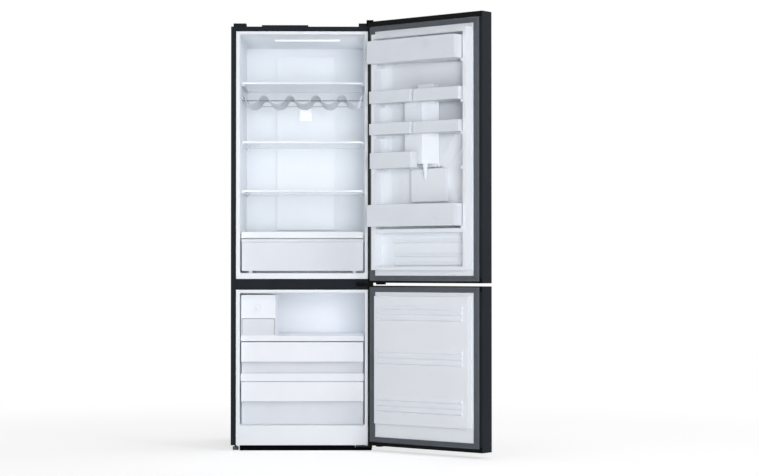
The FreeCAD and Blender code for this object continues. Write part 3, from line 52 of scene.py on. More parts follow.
DOOR = Matrix.Translation(HINGE) @ Matrix.Rotation(OPEN_ANGLE, 4, "Z")
CABINET = Matrix()
FACING_FRONT = Matrix.Rotation(math.radians(90), 4, "X")
FACING_BACK = Matrix.Rotation(math.radians(-90), 4, "X")
FLAT_ANGLE = math.radians(1)
CREASE_ANGLE = math.radians(32)
WELD_DISTANCE = 0.01
EDGE_TOLERANCE = 0.05
BEVEL_SEGMENTS = 2
LARGEST_FACE = 4


# Shader helpers

RAMP_STOPS = (0.3, 0.7)
GLOSS_SPREAD = 0.12
GRAIN_DEPTH = 0.0004
WHITE_LIGHT = (1, 1, 1, 1)


def srgb(red, green, blue):
    """A colour as it looks on screen, 0 to 255, as Blender's linear values."""
    linear = []
    for value in (red, green, blue):
        share = value / 255
        linear.append(share / 12.92 if share <= 0.04045 else ((share + 0.055) / 1.055) ** 2.4)
    return (*linear, 1)


def neutral(value):
    return (value, value, value, 1)


def node(tree, kind, inputs=(), **settings):
    made = tree.nodes.new("ShaderNode" + kind)
    for key, value in settings.items():
        setattr(made, key, value)
    for socket, value in dict(inputs).items():
        if isinstance(value, bpy.types.NodeSocket):
            tree.links.new(value, made.inputs[socket])
        else:
            made.inputs[socket].default_value = value
    return made


def ramp(tree, factor, low, high):
    """From one colour to another, over the middle of a noise."""
    made = node(tree, "ValToRGB", {"Fac": factor})
    for element, position, colour in zip(made.color_ramp.elements, RAMP_STOPS, (low, high)):
        element.position = position
        element.color = colour
    return made.outputs["Color"]


def surface(name, low, high, rough, blotch, grain, relief, **fixed):
    """A moulded or painted surface: blotchy colour and gloss, and a fine grain in relief."""
    material = bpy.data.materials.new(name)
    material.use_nodes = True
    tree = material.node_tree
    shader = tree.nodes["Principled BSDF"]
    place = node(tree, "TexCoord").outputs["Object"]
    mottle = node(tree, "TexNoise", {"Vector": place, "Scale": blotch, "Detail": 5, "Roughness": 0.6})
    mottle = mottle.outputs["Fac"]
    fine = node(tree, "TexNoise", {"Vector": place, "Scale": grain, "Detail": 2}).outputs["Fac"]
    colour = ramp(tree, mottle, srgb(*low), srgb(*high))
    gloss = ramp(tree, mottle, neutral(rough * (1 - GLOSS_SPREAD)), neutral(rough * (1 + GLOSS_SPREAD)))
    bump = node(tree, "Bump", {"Height": fine, "Strength": relief, "Distance": GRAIN_DEPTH})
    tree.links.new(colour, shader.inputs["Base Color"])
    tree.links.new(gloss, shader.inputs["Roughness"])
    tree.links.new(bump.outputs["Normal"], shader.inputs["Normal"])
    for socket, value in fixed.items():
        shader.inputs[socket.replace("_", " ")].default_value = value
    return material


# Materials

paint = surface("outer_paint", (29, 34, 39), (35, 40, 45), 0.42, blotch=3, grain=1400, relief=0.08,
                Specular_IOR_Level=0.12)
dark = surface("dark_plastic", (30, 35, 40), (36, 41, 46), 0.55, blotch=14, grain=1100, relief=0.2,
               Specular_IOR_Level=0.12)
black = surface("hinge_paint", (7, 8, 9), (11, 12, 13), 0.45, blotch=20, grain=1300, relief=0.12,
                Specular_IOR_Level=0.12)
# Near-black for the kick plate and its lip: partly the plastic's own black, partly painted shade for the
# shadow under the cabinet.
painted_shade_black = surface("kick_black_painted_shade", (3, 3, 5), (6, 7, 9), 0.6, blotch=20, grain=1100, relief=0.15,
               Specular_IOR_Level=0.04)
seal = surface("seal_rubber", (87, 92, 98), (95, 100, 106), 0.65, blotch=18, grain=800, relief=0.15,
               Specular_IOR_Level=0.2)
white = surface("liner_white", (238, 242, 248), (242, 246, 251), 0.5, blotch=4, grain=700, relief=0.03,
                Specular_IOR_Level=0.25)
trim = surface("trim_white", (239, 243, 249), (244, 247, 252), 0.4, blotch=9, grain=900, relief=0.04,
               Specular_IOR_Level=0.3)
# The filter cover's white has a faint emission: painted light, a glow on a part that is no lamp.
glowing_filter_white = surface("filter_white_painted_glow", (250, 251, 252), (253, 254, 255), 0.45, blotch=9, grain=900, relief=0.04,
               Emission_Color=WHITE_LIGHT, Emission_Strength=0.12)
bins = surface("bin_clear", (240, 245, 253), (245, 249, 255), 0.3, blotch=7, grain=600, relief=0.03,
               Alpha=0.78, IOR=1.5, Specular_IOR_Level=0.3)
drawers = surface("drawer_clear", (237, 241, 248), (242, 246, 252), 0.35, blotch=6, grain=600, relief=0.03,
                  Alpha=0.8, IOR=1.5, Specular_IOR_Level=0.3)
tank_clear = surface("tank_clear", (240, 245, 252), (245, 249, 254), 0.3, blotch=8, grain=600, relief=0.03,
                     Specular_IOR_Level=0.3)
glass = surface("shelf_glass", (222, 229, 230), (228, 235, 236), 0.1, blotch=3, grain=300, relief=0.01,
                Alpha=0.3, IOR=1.5)
grey = surface("rack_grey", (196, 200, 206), (205, 209, 214), 0.45, blotch=12, grain=800, relief=0.08,
               Specular_IOR_Level=0.25)
rod = surface("rod_grey", (112, 117, 124), (126, 131, 138), 0.4, blotch=20, grain=900, relief=0.08)
foot = surface("foot_grey", (86, 88, 92), (104, 106, 110), 0.5, blotch=30, grain=900, relief=0.15)
foam = surface("foam", (226, 214, 176), (236, 225, 190), 0.9, blotch=40, grain=300, relief=0.6)
zinc = surface("back_zinc", (158, 162, 166), (172, 176, 180), 0.42, blotch=26, grain=700, relief=0.08,
               Metallic=0.85)
alloy = surface("bright_aluminium", (196, 199, 203), (210, 213, 217), 0.34, blotch=30, grain=900, relief=0.1,
                Metallic=0.95)
iron = surface("compressor_black", (20, 20, 22), (28, 28, 30), 0.35, blotch=15, grain=900, relief=0.1)
lamp = surface("lamp_lens", (244, 246, 248), (250, 251, 252), 0.3, blotch=10, grain=500, relief=0.05,
               Emission_Color=WHITE_LIGHT, Emission_Strength=0.45)

MATERIAL_OF_SLOT = {
    "outer_paint": paint, "back_zinc": zinc, "hinge_steel": black, "dark_plastic": dark,
    "liner_white": white, "trim_white": trim, "bin_clear": bins, "drawer_clear": drawers,
    "shelf_glass": glass, "rack_grey": grey, "seal_grey": seal, "foam": foam, "lamp": lamp,
    "bright_aluminium": alloy, "black_paint": iron,
}
SLOT_OF_NODE = {row["node"]: row["material_slot"] for row in frame["record"]["subparts"]}
BODIES = frame["record"]["behaviour"]["bodies"]
BODY_OF_NODE = {name: body for body, names in BODIES.items() for name in names}


# Mesh helpers

def show(name, mesh, material, body, stands_for=()):
    """A mesh as a piece that rides on a body and stands for CAD nodes."""
    piece = bpy.data.objects.new(name, mesh)
    bpy.context.scene.collection.objects.link(piece)
    mesh.materials.append(material)
    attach(piece, body)
    if stands_for:
        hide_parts(*stands_for)
    return piece


def even_shading(piece):
    """Smooth shading that leaves the large flat faces flat."""
    for face in piece.data.polygons:
        face.use_smooth = True
    normals = piece.modifiers.new("normals", "WEIGHTED_NORMAL")
    normals.keep_sharp = True
    return piece


def bevel(piece, width):
    rounding = piece.modifiers.new("rounding", "BEVEL")
    rounding.width = width * MM
    rounding.segments = BEVEL_SEGMENTS
    rounding.limit_method = "ANGLE"
    rounding.angle_limit = CREASE_ANGLE
    piece.modifiers.new("floors", "TRIANGULATE").min_vertices = LARGEST_FACE + 1
    return even_shading(piece)


def built(name, points, faces, material, body, slot, frame_of=CABINET, stands_for=(), width=0):
    """A piece from points in millimetres, drawn in the cabinet's frame or in the closed door's."""
    bm = bmesh.new()
    corners = [bm.verts.new(frame_of @ (Vector(point) * MM)) for point in points]
    for face in faces:
        bm.faces.new([corners[index] for index in face])
    bmesh.ops.recalc_face_normals(bm, faces=bm.faces)
    mesh = bpy.data.meshes.new(name)
    bm.to_mesh(mesh)
    bm.free()
    piece = show(name, mesh, material, body, stands_for)
    return bevel(piece, width) if width else even_shading(piece)


def prism(outline, low, high, axis="z"):
    """Points and faces of an outline drawn out along an axis."""
    count = len(outline)
    points = []
    for level in (low, high):
        for across, up in outline:
            by_axis = {"x": (level, across, up), "y": (across, level, up), "z": (across, up, level)}
            points.append(by_axis[axis])
    faces = [[*range(count)], [*range(count, 2 * count)]]
    for index in range(count):
        after = (index + 1) % count
        faces.append([index, after, count + after, count + index])
    return points, faces


def joined(*shapes):
    """Several (points, faces) shapes as one."""
    points = []
    faces = []
    for more_points, more_faces in shapes:
        faces += [[len(points) + index for index in face] for face in more_faces]
        points += more_points
    return points, faces


def box(x, y, z):
    outline = [(x[0], y[0]), (x[1], y[0]), (x[1], y[1]), (x[0], y[1])]
    return prism(outline, *z)


def rounded_outline(corners, steps=8):
    """Points along a closed outline whose (x, y, radius) corners are rounded."""
    points = []
    for index, (x, y, radius) in enumerate(corners):
        corner = Vector((x, y))
        before = (Vector(corners[index - 1][:2]) - corner).normalized()
        after = (Vector(corners[(index + 1) % len(corners)][:2]) - corner).normalized()
        half = before.angle(after) / 2
        reach = radius / math.tan(half)
        centre = corner + (before + after).normalized() * (radius / math.sin(half))
        start = corner + before * reach - centre
        end = corner + after * reach - centre
        points += [tuple(centre + start.slerp(end, step / steps)) for step in range(steps + 1)]
    return points


def inset(outline, distance):
    """An anticlockwise outline moved inwards."""
    inner = []
    for index, point in enumerate(outline):
        point = Vector(point)
        into = (point - Vector(outline[index - 1])).normalized()
        out = (Vector(outline[(index + 1) % len(outline)]) - point).normalized()
        first = Vector((-into.y, into.x))
        second = Vector((-out.y, out.x))
        inner.append(tuple(point + (first + second) * (distance / (1 + first.dot(second)))))
    return inner


def tray(outline, wall, low, high):
    """An open tray: an outer skin, an inner skin, a rim and a floor."""
    count = len(outline)
    inner = inset(outline, wall)
    points = []
    for ring_of, level in ((outline, low), (outline, high), (inner, high), (inner, low + wall)):
        points += [(x, y, level) for x, y in ring_of]
    faces = [[*range(count)], [*range(3 * count, 4 * count)]]
    for band in range(3):
        for index in range(count):
            after = (index + 1) % count
            first = band * count
            second = first + count
            faces.append([first + index, first + after, second + after, second + index])
    return points, faces


def ring(x, z, side_width, end_width, profile, base):
    """A moulded strip round a rectangle, mitred at its corners.

    The profile is (share of the width, height) pairs.
    """
    points = []
    for share, height in profile:
        side = share * side_width
        end = share * end_width
        for across, up in ((x[0] + side, z[0] + end), (x[1] - side, z[0] + end),
                           (x[1] - side, z[1] - end), (x[0] + side, z[1] - end)):
            points.append((across, base + height, up))
    faces = []
    for row in range(len(profile)):
        below = 4 * row
        above = 4 * ((row + 1) % len(profile))
        for index in range(4):
            after = (index + 1) % 4
            faces.append([below + index, below + after, above + after, above + index])
    return points, faces


def lathe(rings, segments=24, flutes=0):
    """A shape turned about z from (radius, height) rings, with a fluted edge if a depth is given."""
    points = []
    for radius, height in rings:
        for step in range(segments):
            angle = 2 * math.pi * step / segments
            reach = radius - (flutes if step % 2 else 0)
            points.append((reach * math.cos(angle), reach * math.sin(angle), height))
    faces = [[*range(segments)], [*range(len(points) - segments, len(points))]]
    for row in range(len(rings) - 1):
        for step in range(segments):
            after = (step + 1) % segments
            faces.append([row * segments + step, row * segments + after,
                          (row + 1) * segments + after, (row + 1) * segments + step])
    return points, faces


def moved(shape, place, turn=CABINET):
    """A shape in millimetres, turned and put at a place."""
    points, faces = shape
    return [tuple(turn @ Vector(point) + Vector(place)) for point in points], faces


def solid_of(name):
    """A clean copy of a CAD node's mesh, with its flat faces joined."""
    bm = bmesh.new()
    bm.from_mesh(frame["nodes"][name].data)
    bmesh.ops.remove_doubles(bm, verts=bm.verts, dist=WELD_DISTANCE * MM)
    bmesh.ops.dissolve_limit(bm, angle_limit=FLAT_ANGLE, verts=bm.verts, edges=bm.edges)
    return bm


def rounded(name, width, segments=3, material=None, wide=None, frame_of=CABINET):
    """A CAD node with its edges rounded, as a moulding or a folded sheet has them.

    Where `wide` is given, it says which edges get a larger radius, from their two ends in millimetres.
    """
    bm = solid_of(name)
    mesh = bpy.data.meshes.new("soft_" + name)
    back = frame_of.inverted()
    widths = []
    for edge in bm.edges:
        sharp = len(edge.link_faces) == 2 and edge.calc_face_angle() > CREASE_ANGLE
        ends = [back @ vert.co / MM for vert in edge.verts]
        chosen = wide(*ends) if wide else None
        widths.append((chosen or width) if sharp else 0)
    bm.to_mesh(mesh)
    bm.free()
    slot = SLOT_OF_NODE[name]
    material = material or MATERIAL_OF_SLOT[slot]
    piece = show("soft_" + name, mesh, material, BODY_OF_NODE[name], [name])
    weights = mesh.attributes.new("bevel_weight_edge", "FLOAT", "EDGE")
    widest = max(widths)
    weights.data.foreach_set("value", [value / widest for value in widths])
    rounding = piece.modifiers.new("rounding", "BEVEL")
    rounding.width = widest * MM
    rounding.segments = segments
    rounding.limit_method = "WEIGHT"
    return even_shading(piece)


for label, cad in frame["nodes"].items():
    cad.data.materials.clear()
    cad.data.materials.append(MATERIAL_OF_SLOT[SLOT_OF_NODE[label]])


# CAD nodes with rounded edges

LINER_HALF = 261
LINER_BACK = 548
FRIDGE_Z = (740, 1737)
FREEZER_Z = (105, 656)
DYKE_CREST = 45
BULGE_FACE = -2
PLATEAU_FACE = 33
PLATEAU_X = (-527.5, -43.5)
PLATEAU_Z = (118, 645)
PLATEAU_RADIUS = 4


def near(value, target):
    return abs(value - target) < EDGE_TOLERANCE


def tub_corners(z, radius):
    """Picks the inner corners of a liner's tub, between the flange and the back."""
    def wide(start, end):
        on_side = all(near(abs(point.x), LINER_HALF) for point in (start, end))
        on_back = all(near(point.y, LINER_BACK) for point in (start, end))
        on_end = all(near(point.z, z[0]) or near(point.z, z[1]) for point in (start, end))
        return radius if on_side + on_back + on_end >= 2 else None
    return wide


def dyke_edges(start, end):
    """Picks the crest of the dyke and the edges of the dispenser bulge."""
    for level, radius in ((DYKE_CREST, 5), (BULGE_FACE, 12)):
        if near(start.y, level) and near(end.y, level):
            return radius
    return None


def plateau_edges(start, end):
    """Picks the outer edges of the freezer door's plateau, and leaves its ribs crisp."""
    if not (near(start.y, PLATEAU_FACE) and near(end.y, PLATEAU_FACE)):
        return None
    on_side = near(start.x, end.x) and any(near(start.x, side) for side in PLATEAU_X)
    on_end = near(start.z, end.z) and any(near(start.z, level) for level in PLATEAU_Z)
    return PLATEAU_RADIUS if on_side or on_end else None


rounded("fridge_liner", 2.4, 5, wide=tub_corners(FRIDGE_Z, 18))
rounded("freezer_liner", 2.4, 5, wide=tub_corners(FREEZER_Z, 14))
rounded("fridge_door_liner", 0.8, 4, wide=dyke_edges, frame_of=DOOR)
rounded("freezer_door_liner", 0.6, 4, wide=plateau_edges, frame_of=DOOR)

ROUNDING = {
    "left_side_panel": 0.4, "right_side_panel": 0.4, "top_panel": 0.4, "back_panel": 0.4, "base_plate": 0.8,
    "mullion_cover": 0.4, "power_inlet": 1.0, "top_hinge_cover": 2.0, "blanking_cover": 2.5,
    "top_hinge": 0.8, "middle_hinge": 0.8, "bottom_hinge": 0.8, "air_duct_panel": 2.0, "wine_rack": 0.8,
    "crisper_drawer": 1.2, "upper_freezer_shelf": 1.5, "lower_freezer_shelf": 1.5, "ice_maker_housing": 1.4,
    "ice_box": 1.0, "ice_tray": 0.8, "freezer_back_panel": 0.8, "fan_motor": 1.5, "compressor": 1.5,
    "fridge_door_skin": 0.4, "freezer_door_skin": 0.4, "tank_lid": 2.0, "dispenser_niche": 0.9,
    "dispenser_lever": 1.0,
}
for label, width in ROUNDING.items():
    rounded(label, width)
for label in ("fridge_door_frame", "freezer_door_frame"):
    rounded(label, 1.2, material=black)
# The kick plate is a real plinth, and its near-black material is also painted shade for the dark gap under
# the cabinet.
rounded("kick_plate", 0.8, material=painted_shade_black)
# The filter cover glows faintly from the painted light in its material.
rounded("filter_cover", 1.5, material=glowing_filter_white)


# Wine rack: its front rod is darker than its sheet

ROD_PLACE = (106, 1468)
ROD_REACH = 2.4
rack_piece = bpy.data.objects["soft_wine_rack"]
rack_piece.data.materials.append(rod)
for face in rack_piece.data.polygons:
    centre = face.center / MM
    face.material_index = int(math.hypot(centre.y - ROD_PLACE[0], centre.z - ROD_PLACE[1]) < ROD_REACH)


# Freezer drawers: a white grip panel in front of a clear tray

PANEL_BACK = 39
for label in ("upper_freezer_drawer", "lower_freezer_drawer"):
    piece = rounded(label, 1.4)
    piece.data.materials.append(trim)
    for face in piece.data.polygons:
        face.material_index = int(face.center.y < PANEL_BACK * MM)


# Glass shelves: a pane between a slim front moulding and a rear stop

SHELF_HALF = 256
SHELF_REAR = 520
REAR_HALF = 244
GLASS = 4
PANE_INSET = 1
TRIM_DEPTH = 14
NOSE_LIP = 2
STOP_LIP = 10


def moulding(half, front, level, drop, lip):
    """A strip with a rounded front, hooked over the glass."""
    back = front + TRIM_DEPTH
    corners = [(front, level - drop, 1.5), (back, level - drop, 1.0),
               (back, level + lip, 1.0), (front, level + lip, 1.8)]
    return prism(rounded_outline(corners, 4), -half, half, "x")


for label, body, level, front, drop in (
        ("top_glass_shelf", "top_shelf", 1544, 100, 6),
        ("middle_glass_shelf", "middle_shelf", 1295, 100, 6),
        ("lower_glass_shelf", "lower_shelf", 1088, 100, 6),
        ("crisper_cover", "crisper_shelf", 911, 50, 25)):
    pane = box((PANE_INSET - SHELF_HALF, SHELF_HALF - PANE_INSET),
               (front + PANE_INSET, SHELF_REAR - PANE_INSET), (level - GLASS, level))
    built(label + "_pane", *pane, glass, body, "shelf_glass", stands_for=[label], width=0.6)
    nose = moulding(SHELF_HALF, front, level, drop, NOSE_LIP)
    built(label + "_nose", *nose, trim, body, "trim_white", width=0.5)
    stop = moulding(REAR_HALF, SHELF_REAR - TRIM_DEPTH, level, GLASS, STOP_LIP)
    built(label + "_stop", *stop, trim, body, "trim_white", width=0.5)


# Crisper: a slim border round its front closes the gaps to the liner

BORDER_HALF = 258.5
BORDER_Y = (46.4, 48.2)
BORDER_Z = (741.5, 880)
BORDER_FOOT_RADIUS = 20
BORDER_TOP_RADIUS = 3
border = rounded_outline([(-BORDER_HALF, BORDER_Z[0], BORDER_FOOT_RADIUS),
                          (BORDER_HALF, BORDER_Z[0], BORDER_FOOT_RADIUS),
                          (BORDER_HALF, BORDER_Z[1], BORDER_TOP_RADIUS),
                          (-BORDER_HALF, BORDER_Z[1], BORDER_TOP_RADIUS)])
built("crisper_border", *prism(border, *BORDER_Y, "y"), trim, "crisper", "trim_white", width=0.4)


# Ceiling lamp: a shallow ribbed diffuser in a bezel

LAMP_X = (-126, 158)
LAMP_Y = (178, 254)
LAMP_TOP = 1737
LENS_BORDER = 11
LENS_RIBS = 9
LENS_MARGIN = 4
LENS_RIM = 2
LENS_EDGE_DROP = 0.5
LENS_RIM_DROP = 2.2
LENS_VALLEY_DROP = 2.4
LENS_CREST_DROP = 3
BEZEL_RADIUS = 6
BEZEL_DEPTH = 1.2
lens_front = LAMP_Y[0] + LENS_BORDER
lens_back = LAMP_Y[1] - LENS_BORDER
ribbed = lens_back - lens_front - 2 * LENS_MARGIN
lens_points = [(lens_front, LAMP_TOP - LENS_EDGE_DROP), (lens_front + LENS_RIM, LAMP_TOP - LENS_RIM_DROP)]
for number in range(2 * LENS_RIBS + 1):
    y = lens_front + LENS_MARGIN + ribbed * number / (2 * LENS_RIBS)
    lens_points.append((y, LAMP_TOP - (LENS_CREST_DROP if number % 2 else LENS_VALLEY_DROP)))
lens_points += [(lens_back - LENS_RIM, LAMP_TOP - LENS_RIM_DROP), (lens_back, LAMP_TOP - LENS_EDGE_DROP)]
lens = prism(lens_points, LAMP_X[0] + LENS_MARGIN, LAMP_X[1] - LENS_MARGIN, "x")
built("lamp_diffuser", *lens, lamp, "cabinet", "lamp", stands_for=["lamp_lens"])
bezel = rounded_outline([(LAMP_X[0], LAMP_Y[0], BEZEL_RADIUS), (LAMP_X[1], LAMP_Y[0], BEZEL_RADIUS),
                         (LAMP_X[1], LAMP_Y[1], BEZEL_RADIUS), (LAMP_X[0], LAMP_Y[1], BEZEL_RADIUS)])
built("lamp_bezel", *prism(bezel, LAMP_TOP - BEZEL_DEPTH, LAMP_TOP), trim, "cabinet", "lamp", width=0.4)


# Door gaskets: a hollow lip, a groove and an inner flap

GASKET_PROFILE = [(0, 0), (0, 2.6), (0.08, 5.4), (0.2, 6.4), (0.32, 6.6), (0.46, 6.2), (0.54, 4.4),
                  (0.64, 3.8), (0.74, 4.6), (0.86, 5.2), (0.95, 4.2), (1, 1.6), (1, 0)]
GASKET_X = (-569, -2)
GASKET_SIDE_WIDTH = 28
GASKET_END_WIDTH = 22
GASKET_BASE = 6
for label, body, z in (("fridge_door_gasket", "fridge_door", (707, 1765.5)),
                       ("freezer_door_gasket", "freezer_door", (38, 683))):
    strip = ring(GASKET_X, z, GASKET_SIDE_WIDTH, GASKET_END_WIDTH, GASKET_PROFILE, GASKET_BASE)
    built(label + "_moulding", *strip, seal, body, "seal_grey", frame_of=DOOR, stands_for=[label])


# Door bins, with a rounded corner at the hinge side where the door's liner is coved

BIN_WALL = 2.5
BIN_BACK = -28
BIN_FREE_END = -513.5
BIN_HINGE_END = -57.5
BIN_SPLIT = (-277, -276)
BIN_COVE = 46
BIN_REAR_RADIUS = 8
BIN_RADIUS = 4
BIN_HINGE_RADIUS = 3
TANK_SIDES = (-348, -188)
TANK_CLEAR = 30
TANK_SIDE_RADIUS = 6


def full_bin(front):
    return [(BIN_FREE_END, BIN_BACK, BIN_REAR_RADIUS), (BIN_HINGE_END, BIN_BACK, BIN_COVE),
            (BIN_HINGE_END, front, BIN_HINGE_RADIUS), (BIN_FREE_END, front, BIN_RADIUS)]


def free_bin(front):
    return [(BIN_FREE_END, BIN_BACK, BIN_REAR_RADIUS), (TANK_SIDES[0], BIN_BACK, TANK_SIDE_RADIUS),
            (TANK_SIDES[0], TANK_CLEAR, BIN_RADIUS), (BIN_SPLIT[0], TANK_CLEAR, BIN_RADIUS),
            (BIN_SPLIT[0], front, BIN_RADIUS), (BIN_FREE_END, front, BIN_RADIUS)]


def hinge_bin(front):
    return [(TANK_SIDES[1], BIN_BACK, TANK_SIDE_RADIUS), (BIN_HINGE_END, BIN_BACK, BIN_COVE),
            (BIN_HINGE_END, front, BIN_HINGE_RADIUS), (BIN_SPLIT[1], front, BIN_RADIUS),
            (BIN_SPLIT[1], TANK_CLEAR, BIN_RADIUS), (TANK_SIDES[1], TANK_CLEAR, BIN_RADIUS)]


for label, body, corners, z in (
        ("top_bin", "egg_bin", full_bin(100), (1600, 1693)),
        ("upper_free_side_bin", "upper_free_bin", free_bin(71), (1437, 1487)),
        ("upper_hinge_side_bin", "upper_hinge_bin", hinge_bin(84), (1437, 1487)),
        ("lower_free_side_bin", "lower_free_bin", free_bin(71), (1308, 1354)),
        ("lower_hinge_side_bin", "lower_hinge_bin", hinge_bin(84), (1308, 1354)),
        ("half_bin", "short_bin", hinge_bin(80), (1169, 1233)),
        ("bottle_bin", "tall_bin", full_bin(100), (930, 1019))):
    shape = tray(rounded_outline(corners), BIN_WALL, *z)
    built(label + "_tray", *shape, bins, body, "bin_clear", frame_of=DOOR, stands_for=[label], width=0.7)


# Water tank: a flat-fronted tank with one slanted corner, an open filling neck and the outlet valve

TANK_OUTLINE = [(-343, -28.5, 3), (-193, -28.5, 3), (-193, 25, 6), (-292, 25, 3), (-343, -16, 8)]
TANK_Z = (1185.2, 1452)
NECK_OUTLINE = [(-340, -26, 4), (-264, -26, 4), (-264, 14, 4), (-340, 14, 4)]
NECK_WALL = 2.5
NECK_Z = (1451, 1492)
VALVE_RINGS = [(4, 1123.2), (5, 1124), (10, 1172), (11, 1176), (11, 1186)]
VALVE_PLACE = (-300, 13, 0)
vessel = prism(rounded_outline(TANK_OUTLINE), *TANK_Z)
neck = tray(rounded_outline(NECK_OUTLINE), NECK_WALL, *NECK_Z)
valve = moved(lathe(VALVE_RINGS), VALVE_PLACE)
built("water_tank_vessel", *joined(vessel, neck, valve), tank_clear, "tank", "bin_clear", frame_of=DOOR,
      stands_for=["water_tank"], width=1.1)


# Cove of the fridge door's liner, at the hinge side

COVE_RADIUS = 45
COVE_CORNER = (-56, -29.5)
COVE_Z = (920.5, 1707.5)
COVE_STEPS = 12
cove_outline = [COVE_CORNER]
for step in range(COVE_STEPS + 1):
    turn = math.radians(90) * step / COVE_STEPS
    cove_outline.append((COVE_CORNER[0] - COVE_RADIUS + COVE_RADIUS * math.cos(turn),
                         COVE_CORNER[1] + COVE_RADIUS - COVE_RADIUS * math.sin(turn)))
built("door_cove", *prism(cove_outline, *COVE_Z), white, "fridge_door", "liner_white", frame_of=DOOR)


# Kick plate lip, a near-black strip down to the floor that is painted shade for the shadow under the cabinet,
# and screw feet

LIP_OUTLINE = [(5.6, 0.4, 0.6), (8.6, 0.4, 0.6), (8.4, 3, 0.8), (5.8, 3, 0.8)]
LIP_X = (-259.5, 289)
built("kick_lip_painted_shade", *prism(rounded_outline(LIP_OUTLINE, 3), *LIP_X, "x"), painted_shade_black, "cabinet", "dark_plastic")

PAD_RINGS = [(11, 0), (12.5, 1.2), (12.5, 12.6), (11.5, 14)]
PAD_SEGMENTS = 48
PAD_FLUTES = 0.6
STEM_RINGS = [(5, 13), (5, 24)]
FOOT_Y = 40
for label, body, x in (("left_front_foot", "left_foot", -279), ("right_front_foot", "right_foot", 279)):
    screw_foot = moved(joined(lathe(PAD_RINGS, PAD_SEGMENTS, PAD_FLUTES), lathe(STEM_RINGS)), (x, FOOT_Y, 0))
    built(label + "_screw_foot", *screw_foot, foot, body, "dark_plastic", stands_for=[label])


# Ribs of the door liners: a steep lower flank and a long upper one

RIB_ROOT = 0.3
RIB_HEIGHT = 9
RIB_FOOT = -6
RIB_CREST = 1
RIB_HEAD = 16
PLATEAU_RIB_X = (-503.5, -67.5)
PLATEAU_RIB_SHARES = (0.106, 0.148, 0.191, 0.477, 0.523, 0.565, 0.817, 0.863, 0.901)
RECESS_RIB_X = (-470, -128)
RECESS_RIB_SHARES = (0.05, 0.31, 0.72)
RECESS_BACK = -7
RECESS_Z = (766, 905)


def ribs(x, z, shares, face):
    """Ribs across a liner's face, at shares of its height."""
    made = []
    for share in shares:
        low = z[0] + (z[1] - z[0]) * share
        profile = [(face - RIB_ROOT, low + RIB_FOOT), (face + RIB_HEIGHT, low + RIB_CREST),
                   (face - RIB_ROOT, low + RIB_HEAD)]
        made.append(prism(profile, *x, axis="x"))
    return joined(*made)


plateau_ribs = ribs(PLATEAU_RIB_X, PLATEAU_Z, PLATEAU_RIB_SHARES, PLATEAU_FACE)
built("plateau_ribs", *plateau_ribs, white, "freezer_door", SLOT_OF_NODE["freezer_door_liner"],
      frame_of=DOOR, width=0.5)
recess_ribs = ribs(RECESS_RIB_X, RECESS_Z, RECESS_RIB_SHARES, RECESS_BACK)
built("recess_ribs", *recess_ribs, white, "fridge_door", SLOT_OF_NODE["fridge_door_liner"],
      frame_of=DOOR, width=0.5)


# Door stops, under each door next to the hinge axis

STOP_Y = (-52, -26)
STOP_SLANT = 10
for label, body, length, z in (("fridge_door_stop", "fridge_door", 50, (691.5, 698.9)),
                               ("freezer_door_stop", "freezer_door", 36, (15.5, 22.9))):
    outline = rounded_outline([(-length, STOP_Y[0], 5), (0, STOP_Y[0], 5), (0, STOP_Y[1], 5),
                               (STOP_SLANT - length, STOP_Y[1], 4)], 4)
    built(label, *prism(outline, *z), black, body, "hinge_steel", frame_of=DOOR, width=0.8)


# Screws

SCREW_RINGS = [(1, 0), (1, 0.3), (0.86, 0.52), (0.5, 0.62), (0.42, 0.62), (0.36, 0.2)]
SCREW_SEGMENTS = 12
HINGE_SCREW_RADIUS = 2.6
HINGE_FACE = -3
BACK_SCREW_RADIUS = 4
BACK_FACE = 600


def screws(name, places, radius, turn, body, material, slot):
    """Pan-head screws with a sunk drive, in one piece."""
    head = lathe([(radius * r, radius * h) for r, h in SCREW_RINGS], SCREW_SEGMENTS)
    built(name, *joined(*[moved(head, place, turn) for place in places]), material, body, slot)


hinge_places = [(x, HINGE_FACE, z) for x in (232, 256) for z in (687.2, 698.8)]
screws("middle_hinge_screws", hinge_places, HINGE_SCREW_RADIUS, FACING_FRONT, "cabinet", black, "hinge_steel")
back_places = [(x, BACK_FACE, z) for x in (-285, 285) for z in (60, 400, 740, 1080, 1420, 1740)]
back_places += [(x, BACK_FACE, z) for x in (-95, 95) for z in (40, 1750)]
screws("back_screws", back_places, BACK_SCREW_RADIUS, FACING_BACK, "cabinet", alloy, "back_zinc")


# Inlet pins, the dispenser's drip grille and the bead pressed into the back

PIN_PLACES = ((218.5, 172), (228.5, 179), (238.5, 172))
PIN_HALF_WIDTH = 2
PIN_HALF_HEIGHT = 4
PIN_Y = (577, 593)
pins = [box((x - PIN_HALF_WIDTH, x + PIN_HALF_WIDTH), PIN_Y, (z - PIN_HALF_HEIGHT, z + PIN_HALF_HEIGHT))
        for x, z in PIN_PLACES]
built("inlet_pins", *joined(*pins), alloy, "cabinet", "bright_aluminium", width=0.8)

SLAT_WIDTH = 3
SLAT_PITCH = 8
SLAT_STARTS = range(-364, -238, SLAT_PITCH)
SLAT_Y = (-54, -13)
SLAT_Z = (1036.2, 1039)
RAIL_STARTS = (-54, -35, -16)
RAIL_X = (-366, -233)
RAIL_Z = (1036.2, 1038.4)
slats = [box((x, x + SLAT_WIDTH), SLAT_Y, SLAT_Z) for x in SLAT_STARTS]
rails = [box(RAIL_X, (y, y + SLAT_WIDTH), RAIL_Z) for y in RAIL_STARTS]
built("drip_grille", *joined(*slats, *rails), dark, "fridge_door", "dark_plastic", frame_of=DOOR)

